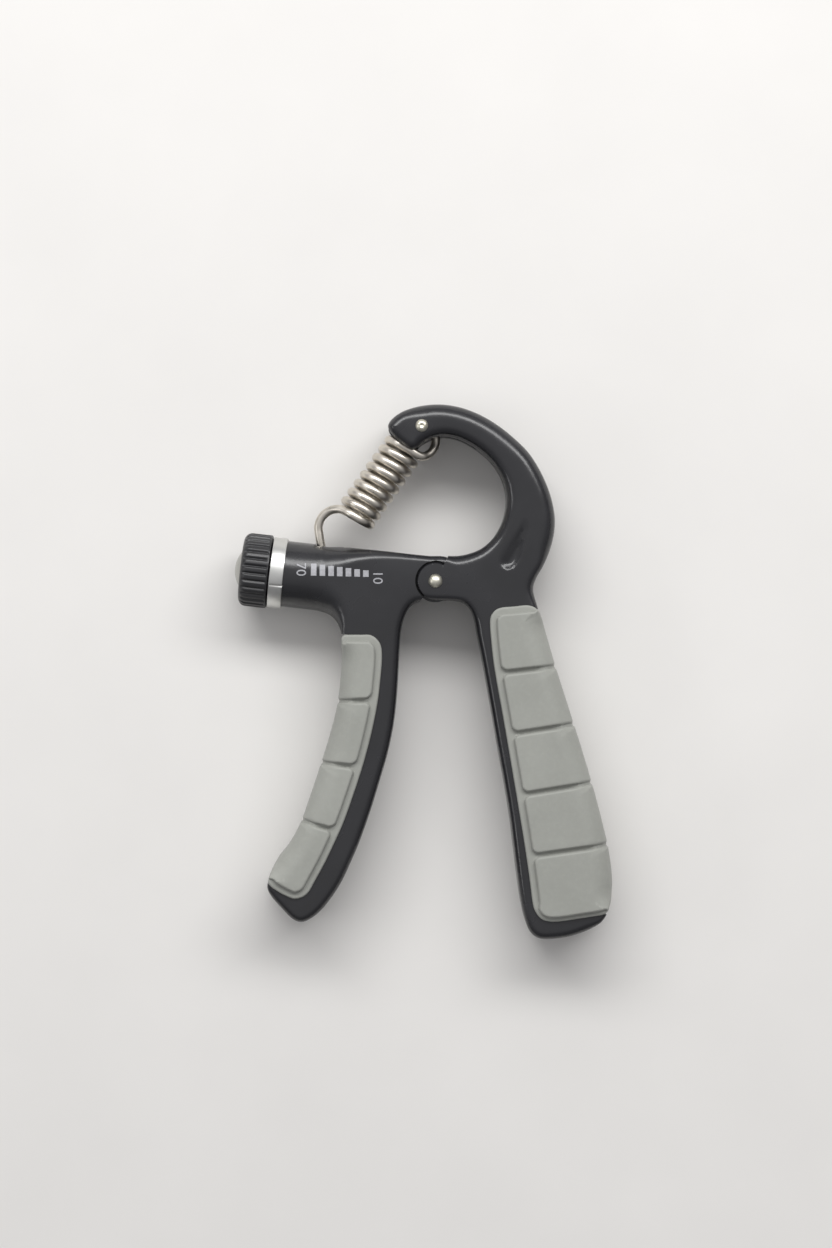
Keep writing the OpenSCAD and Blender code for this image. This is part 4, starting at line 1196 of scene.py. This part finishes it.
    def collar(self) -> Shape:
        """Turned ring on the barrel's mouth, with a fine line cut along it below its front."""
        r, w = self.collar_r, self.collar_w
        profile = [
            (-w, 8.83), (-w, r - 0.35), (-w + 0.12, r - 0.1), (-w + 0.35, r), (-0.35, r),
            (-0.12, r - 0.1), (0, r - 0.35), (0, 8.83),
        ]

        def mark(along: Points, radius: Points, angle: Points) -> Points:
            """Radius less the line."""
            line = np.exp(-(((angle - math.radians(112)) / 0.028) ** 2)) * (along > -w + 0.8)
            return radius - 0.34 * line * (radius > 9.9)

        return self.barrel.put(lathe(profile, 720, True, mark))

    def build(self, finishes: Finishes) -> None:
        """Builds and dresses every piece of the finger handle."""
        form = self.form()
        b = self.barrel
        pieces = half_shells("finger", form.solid(0.9), self.cuts(), self.screws)
        for piece, side, node in zip(pieces, (1, -1), ("finger_front_shell", "finger_rear_shell")):
            spigot = mesh_object("tool", b.rod(8.8, -self.collar_w, 0.5))
            room = b.block((-8, 4), (-12, 12), (-12 * side, 0))
            carve(piece, [], [carve(spigot, [room, b.rod(self.barrel_bore, -6, 3.8)])])
            settle(piece, Body.FINGER, Slot.BODY, finishes.shell, node)
        left = (*self.pad_top, *self.outer[1:10], *self.pad_corner)
        knots = rows((left, [1.8, 1]), (self.pad_right, [1.8, 0]))
        pad = pad_piece("finger_grip_pad", knots, np.array(self.grooves), self.core())
        settle(pad, Body.FINGER, Slot.PAD, finishes.rubber, "finger_pad")
        self.scale_print(form, finishes)
        collar = mesh_object("barrel_collar_plated", self.collar())
        settle(collar, Body.FINGER, Slot.NICKEL, finishes.collar, "barrel_collar")


def block_faces(count: int) -> list:
    """Quads of a thin block whose upper and lower sides are square grids of points in turn."""
    m = count * count
    i, j = np.meshgrid(np.arange(count - 1), np.arange(count - 1), indexing="ij")
    a = (i * count + j).ravel()
    top = np.stack([a, a + count, a + count + 1, a + 1], 1)
    ring = np.r_[
        np.arange(count) * count, (count - 1) * count + np.arange(1, count),
        (np.arange(count - 1) * count + count - 1)[::-1], np.arange(1, count - 1)[::-1],
    ]
    after = np.roll(ring, -1)
    sides = np.stack([ring, after, after + m, ring + m], 1)
    return np.vstack([top, (top + m)[:, ::-1], sides]).tolist()


@dataclass
class Adjuster:
    """The fluted knob, its bright cap and the threaded spindle."""

    barrel: Barrel = field(default_factory=Barrel)
    knob_r: float = 10.6
    knob: tuple = (-12.6, -4.4)
    flutes: int = 30
    flute_depth: float = 0.5
    nose_r: float = 2.3
    cap_r: float = 5.35
    cap_rise: float = 1.9
    cap_share: float = 0.985
    thread_r: float = 2.5
    thread_depth: float = 0.45
    thread_run: tuple = (3.2, 31.6)
    pitch: float = 2.0
    neck_depth: float = 0.6
    neck_run: tuple = (2.1, 2.85)
    spindle: tuple = (-8.75, 32.4)

    def knob_shape(self) -> Shape:
        """Turned body, with flutes that dip by cos(n a / 2)^6 over its middle band."""
        s0, s1 = self.knob
        r, bend = self.knob_r, self.nose_r
        arc = np.radians(np.linspace(0, 90, 9))
        nose = np.stack([s0 + bend - bend * np.cos(arc), r - bend + bend * np.sin(arc)], 1)
        along = np.linspace(s0 + 2.5, s1 - 0.5, 24)
        band = np.stack([along, np.full(len(along), r)], 1)
        tail = [
            (s1 - 0.15, r - 0.12), (s1, r - 0.5), (s1, 2.6), (s0 + 3.8, 2.6), (s0 + 3.8, 1.7),
            (s0 + 3.2, 1.7), (s0 + 3.2, 3.2), (s0 + 1.2, 3.2), (s0 + 1.2, 5.4), (s0 + 0.15, 5.4),
            (s0, 5.55),
        ]

        def flute(at: Points, radius: Points, angle: Points) -> Points:
            """Radius less the flutes, which run out towards both rims."""
            middle = ease((at - s0 - 0.5) / 1.0) * ease((s1 - 0.35 - at) / 0.5)
            dip = np.cos(angle * self.flutes / 2) ** 6
            return radius - self.flute_depth * dip * middle * (radius > r - 1.6)

        return self.barrel.put(lathe(np.vstack([nose, band, tail]), 720, True, flute))

    def cap_shape(self) -> Shape:
        """Dome on a short skirt."""
        s0 = self.knob[0]
        ball = (self.cap_r**2 + self.cap_rise**2) / (2 * self.cap_rise)
        turn = np.linspace(0, math.asin(self.cap_r / ball) * self.cap_share, 14)
        dome = np.stack([s0 - self.cap_rise + ball - ball * np.cos(turn), ball * np.sin(turn)], 1)
        skirt = [(s0 + 0.05, self.cap_r), (s0 + 1.15, self.cap_r), (s0 + 1.15, 0)]
        return self.barrel.put(lathe(np.vstack([dome, skirt]), 96, False))

    def thread_shape(self) -> Shape:
        """Spindle: the radius follows a rounded saw of s less the turn, with the clip's neck."""
        s0, s1 = self.spindle
        along = np.linspace(s0, s1, 330)
        side = np.stack([along, np.full(len(along), self.thread_r)], 1)
        profile = np.vstack([[s0, 0], side, [s1, 0]])

        def thread(at: Points, radius: Points, angle: Points) -> Points:
            """Radius less the thread, between its ends."""
            phase = (at / self.pitch - angle / (2 * math.pi)) % 1.0
            dip = self.thread_depth * ease(np.abs(2 * phase - 1) * 1.6 - 0.3)
            first, last = self.thread_run
            inside = ease((at - first) / 0.8) * ease((last - at) / 0.8)
            neck = self.neck_depth * ((at > self.neck_run[0]) & (at < self.neck_run[1]))
            return np.where(radius > 1, radius - dip * inside - neck, radius)

        body = self.barrel.put(lathe(profile, 48, False, thread))
        return Shape.joined([body, self.barrel.rod(1.75, s1 - 0.1, s1 + 3.2)])

    def build(self, finishes: Finishes) -> None:
        """Builds and dresses every piece of the adjuster."""
        for name, shape, slot, finish, node in (
            ("knob_fluted", self.knob_shape(), Slot.KNOB, finishes.knob, "adjusting_knob"),
            ("knob_cap_plated", self.cap_shape(), Slot.NICKEL, finishes.cap, "knob_cap"),
            ("lead_screw_threaded", self.thread_shape(), Slot.STEEL, finishes.steel, "lead_screw"),
        ):
            settle(mesh_object(name, shape), Body.ADJUSTER, slot, finish, node)


@dataclass
class TensionSpring:
    """The wound spring: one wire with two hooks, whose turns spread as its foot moves."""

    anchor: Points = field(default_factory=lambda: np.array([-3.9, 44.4, 0.0]))
    foot: Points = field(default_factory=lambda: np.array([*Barrel().point(12.5, 6.8), 0.0]))
    wire_r: float = 1.25
    coil_r: float = 5.0
    pitch: float = 3.06
    turns: int = 8
    aside: float = -0.7
    leave: tuple = (-50.0, 25.0)
    pin_r: float = 1.25
    anchor_r: float = 1.4
    play: float = 0.15
    below: float = 0.628
    held: float = 3.5
    sides: int = 20

    def knots(self) -> Points:
        """Knots of the wire, from its lower end."""
        reach = np.linalg.norm(self.anchor - self.foot)
        up = (self.anchor - self.foot) / reach
        side = np.array([up[1], -up[0], 0])
        low = (reach - self.turns * self.pitch) * self.below
        bend = self.pin_r + self.wire_r + self.play
        arc = np.radians(np.arange(0, -181, -30))
        lower = np.vstack([
            [(bend, 2.0, 0), (bend, 1.0, 0)],
            np.stack([bend * np.cos(arc), bend * np.sin(arc), 0 * arc], 1),
            [(-bend - 0.1, 2.6, 0), (-3.2, 5.4, 0), (-3.5, 8.3, 0), (-2.6, 10.8, 0.2),
             (-0.8, 12.5, 0.8), (1.5, 13.2, 1.9)],
        ]) + self.foot
        first, last = self.leave[0], 360 * self.turns + self.leave[1]
        a = np.linspace(first, last, math.ceil((last - first) / 45) + 1)[:, None]
        turn = np.radians(a)
        coil = self.foot + up * (low + self.pitch * a / 360)
        coil = coil + side * (self.aside + self.coil_r * np.sin(turn))
        coil = coil + self.coil_r * np.cos(turn) * np.array([0, 0, 1])
        bend = self.anchor_r + self.wire_r + self.play
        arc = np.radians(np.arange(30, 191, 32))
        upper = np.vstack([
            [(-0.5, -8.4, 3.5), (1.2, -8.3, 2.3), (2.9, -7, 1), (3.9, -5, 0.2), (4, -2.6, 0),
             (3.3, -0.4, 0)],
            np.stack([bend * np.cos(arc), bend * np.sin(arc), 0 * arc], 1),
            [(-bend + 0.1, -2.7, 0)],
        ]) + self.anchor
        return np.vstack([lower, coil, upper])

    def build(self, finishes: Finishes) -> None:
        """Builds the spring and the three empties that stretch it between its two pins."""
        path = smooth_open(self.knots(), 7)
        piece = mesh_object("tension_spring_wound", swept(path, self.wire_r, self.sides), 50)
        reach = np.linalg.norm(self.anchor - self.foot)
        along = (path - self.foot) @ (self.anchor - self.foot) / reach
        share = np.clip((reach - self.held - along) / (reach - 2 * self.held), 0, 1)
        share = np.repeat(np.round(share[[0, *range(len(path)), -1]], 4), self.sides)
        group = piece.vertex_groups.new(name="lower_end")
        for value in np.unique(share):
            group.add(np.flatnonzero(share == value).tolist(), float(value), "REPLACE")
        self.hang(piece)
        settle(piece, Body.SPRING, Slot.NICKEL, finishes.spring, "tension_spring")

    def hang(self, piece: Object) -> None:
        """Hangs the piece on an empty that turns about the anchor pin and aims at the hook pin."""
        pin, top = (Vector(((p + PIVOT) * MM).tolist()) for p in (self.foot, self.anchor))
        turned = (pin - top).to_track_quat("Y", "Z").to_matrix().to_4x4()
        target, axis, foot = (linked(n, None) for n in ("hook_place", "spring_axis", "spring_foot"))
        for empty, at in ((target, pin), (axis, top), (foot, pin)):
            empty.matrix_world = Matrix.Translation(at) @ turned
        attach(target, Body.SLIDER.value)
        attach(axis, Body.SPRING.value)
        world = foot.matrix_world.copy()
        foot.parent = axis
        foot.matrix_world = world
        bpy.context.view_layer.update()
        aim = axis.constraints.new("DAMPED_TRACK")
        aim.target, aim.track_axis = target, "TRACK_Y"
        hold = foot.constraints.new("COPY_LOCATION")
        hold.target = target
        bpy.context.view_layer.update()
        piece.parent = axis
        piece.matrix_parent_inverse = axis.matrix_world.inverted()
        stretch = piece.modifiers.new("stretch", "HOOK")
        stretch.object, stretch.vertex_group = foot, "lower_end"
        stretch.falloff_type = "NONE"
        bpy.context.view_layer.update()
        stretch.matrix_inverse = foot.matrix_world.inverted() @ piece.matrix_world


# ---- Studio -----------------------------------------------------------------------------


@dataclass
class Studio:
    """The camera above the grip, the pale floor that it lies on, and soft light."""

    looks_at: tuple = (-0.0020, 0.01363, 0.012)
    distance: float = 0.95
    tall: float = 0.3602

    def camera(self) -> None:
        """Camera that looks straight down, with the arm towards the top of the frame."""
        data = bpy.data.cameras.new("camera")
        data.sensor_fit, data.sensor_width = "AUTO", 36.0
        data.lens = 36.0 * self.distance / self.tall
        seen = linked("camera", data)
        x, y, z = self.looks_at
        seen.location = (x, y, z + self.distance)
        bpy.context.scene.camera = seen

    def floor(self) -> None:
        """Large pale floor, with a faint mottle like coated card."""
        mesh = bpy.data.meshes.new("floor")
        reach = 3.0
        corners = [(-reach, -reach, 0), (reach, -reach, 0), (reach, reach, 0), (-reach, reach, 0)]
        mesh.from_pydata(corners, [], [[0, 1, 2, 3]])
        card = Finish("card_pale", "#d6d4d1", "#dad8d5", 0.8, 2.0, 0.002, 60.0)
        mesh.materials.append(card.build())
        ground = linked("floor", mesh)

    def lamp(self, name: str, at: tuple, size: tuple, power: float) -> None:
        """Soft lamp that faces the grip."""
        data = bpy.data.lights.new(name, "AREA")
        data.shape, data.size, data.size_y, data.energy = "RECTANGLE", size[0], size[1], power
        made = linked(name, data)
        made.location = at
        made.rotation_euler = (Vector(self.looks_at) - Vector(at)).to_track_quat("-Z", "Y").to_euler()

    def sky(self) -> World:
        """Surroundings that fade from a large diffuser overhead, towards the arm, to a grey room."""
        made = bpy.data.worlds.new("studio")
        made.use_nodes = True
        tree = made.node_tree
        way = add_node(tree, "ShaderNodeTexCoord", {}, {}).outputs["Generated"]
        inputs = {0: way, 1: (-0.1, 0.44, 0.89)}
        settings = {"operation": "DOT_PRODUCT"}
        up = add_node(tree, "ShaderNodeVectorMath", settings, inputs).outputs["Value"]
        stops = [(0.0, "#7e7e80"), (0.35, "#929294"), (0.65, "#c0c0c2"), (0.95, "#d2d2d3")]
        tree.links.new(ramp(tree, up, stops), tree.nodes["Background"].inputs["Color"])
        tree.nodes["Background"].inputs["Strength"].default_value = 1.0
        return made

    def build(self) -> None:
        """Builds the studio."""
        scene = bpy.context.scene
        scene.view_settings.view_transform = "Standard"
        scene.world = self.sky()
        self.floor()
        self.lamp("window", (0.08, 0.7, 0.78), (1.7, 0.34), 14.0)
        self.lamp("reflector", (-0.95, -0.05, 0.5), (0.5, 0.15), 1.0)
        self.camera()


def dress_hidden_nodes(finishes: Finishes) -> None:
    """Gives the CAD nodes that stay their finishes."""
    wanted = {
        finishes.steel: ("palm_screws", "finger_screws", "knob_screw", "retaining_clip", "hook_pin"),
        finishes.acetal: ("pivot_washers", "screw_bearing", "thrust_washer"),
        finishes.brass: ("pivot_bush", "slider_nut"),
        finishes.block: ("slider_block",),
    }
    for finish, names in wanted.items():
        for name in names:
            for slot in frame["nodes"][name].material_slots:
                slot.material = finish
            LOG.info("%s: CAD node with finish %s", name, finish.name)


def main() -> None:
    """Builds the studio and every sub-assembly in order."""
    logging.basicConfig(level=logging.INFO, format="%(name)s %(message)s")
    Studio().build()
    finishes = Finishes.made(Barrel().tilt)
    PalmHandle().build(finishes)
    FingerHandle().build(finishes)
    Adjuster().build(finishes)
    TensionSpring().build(finishes)
    dress_hidden_nodes(finishes)


if __name__ == "__main__":
    main()
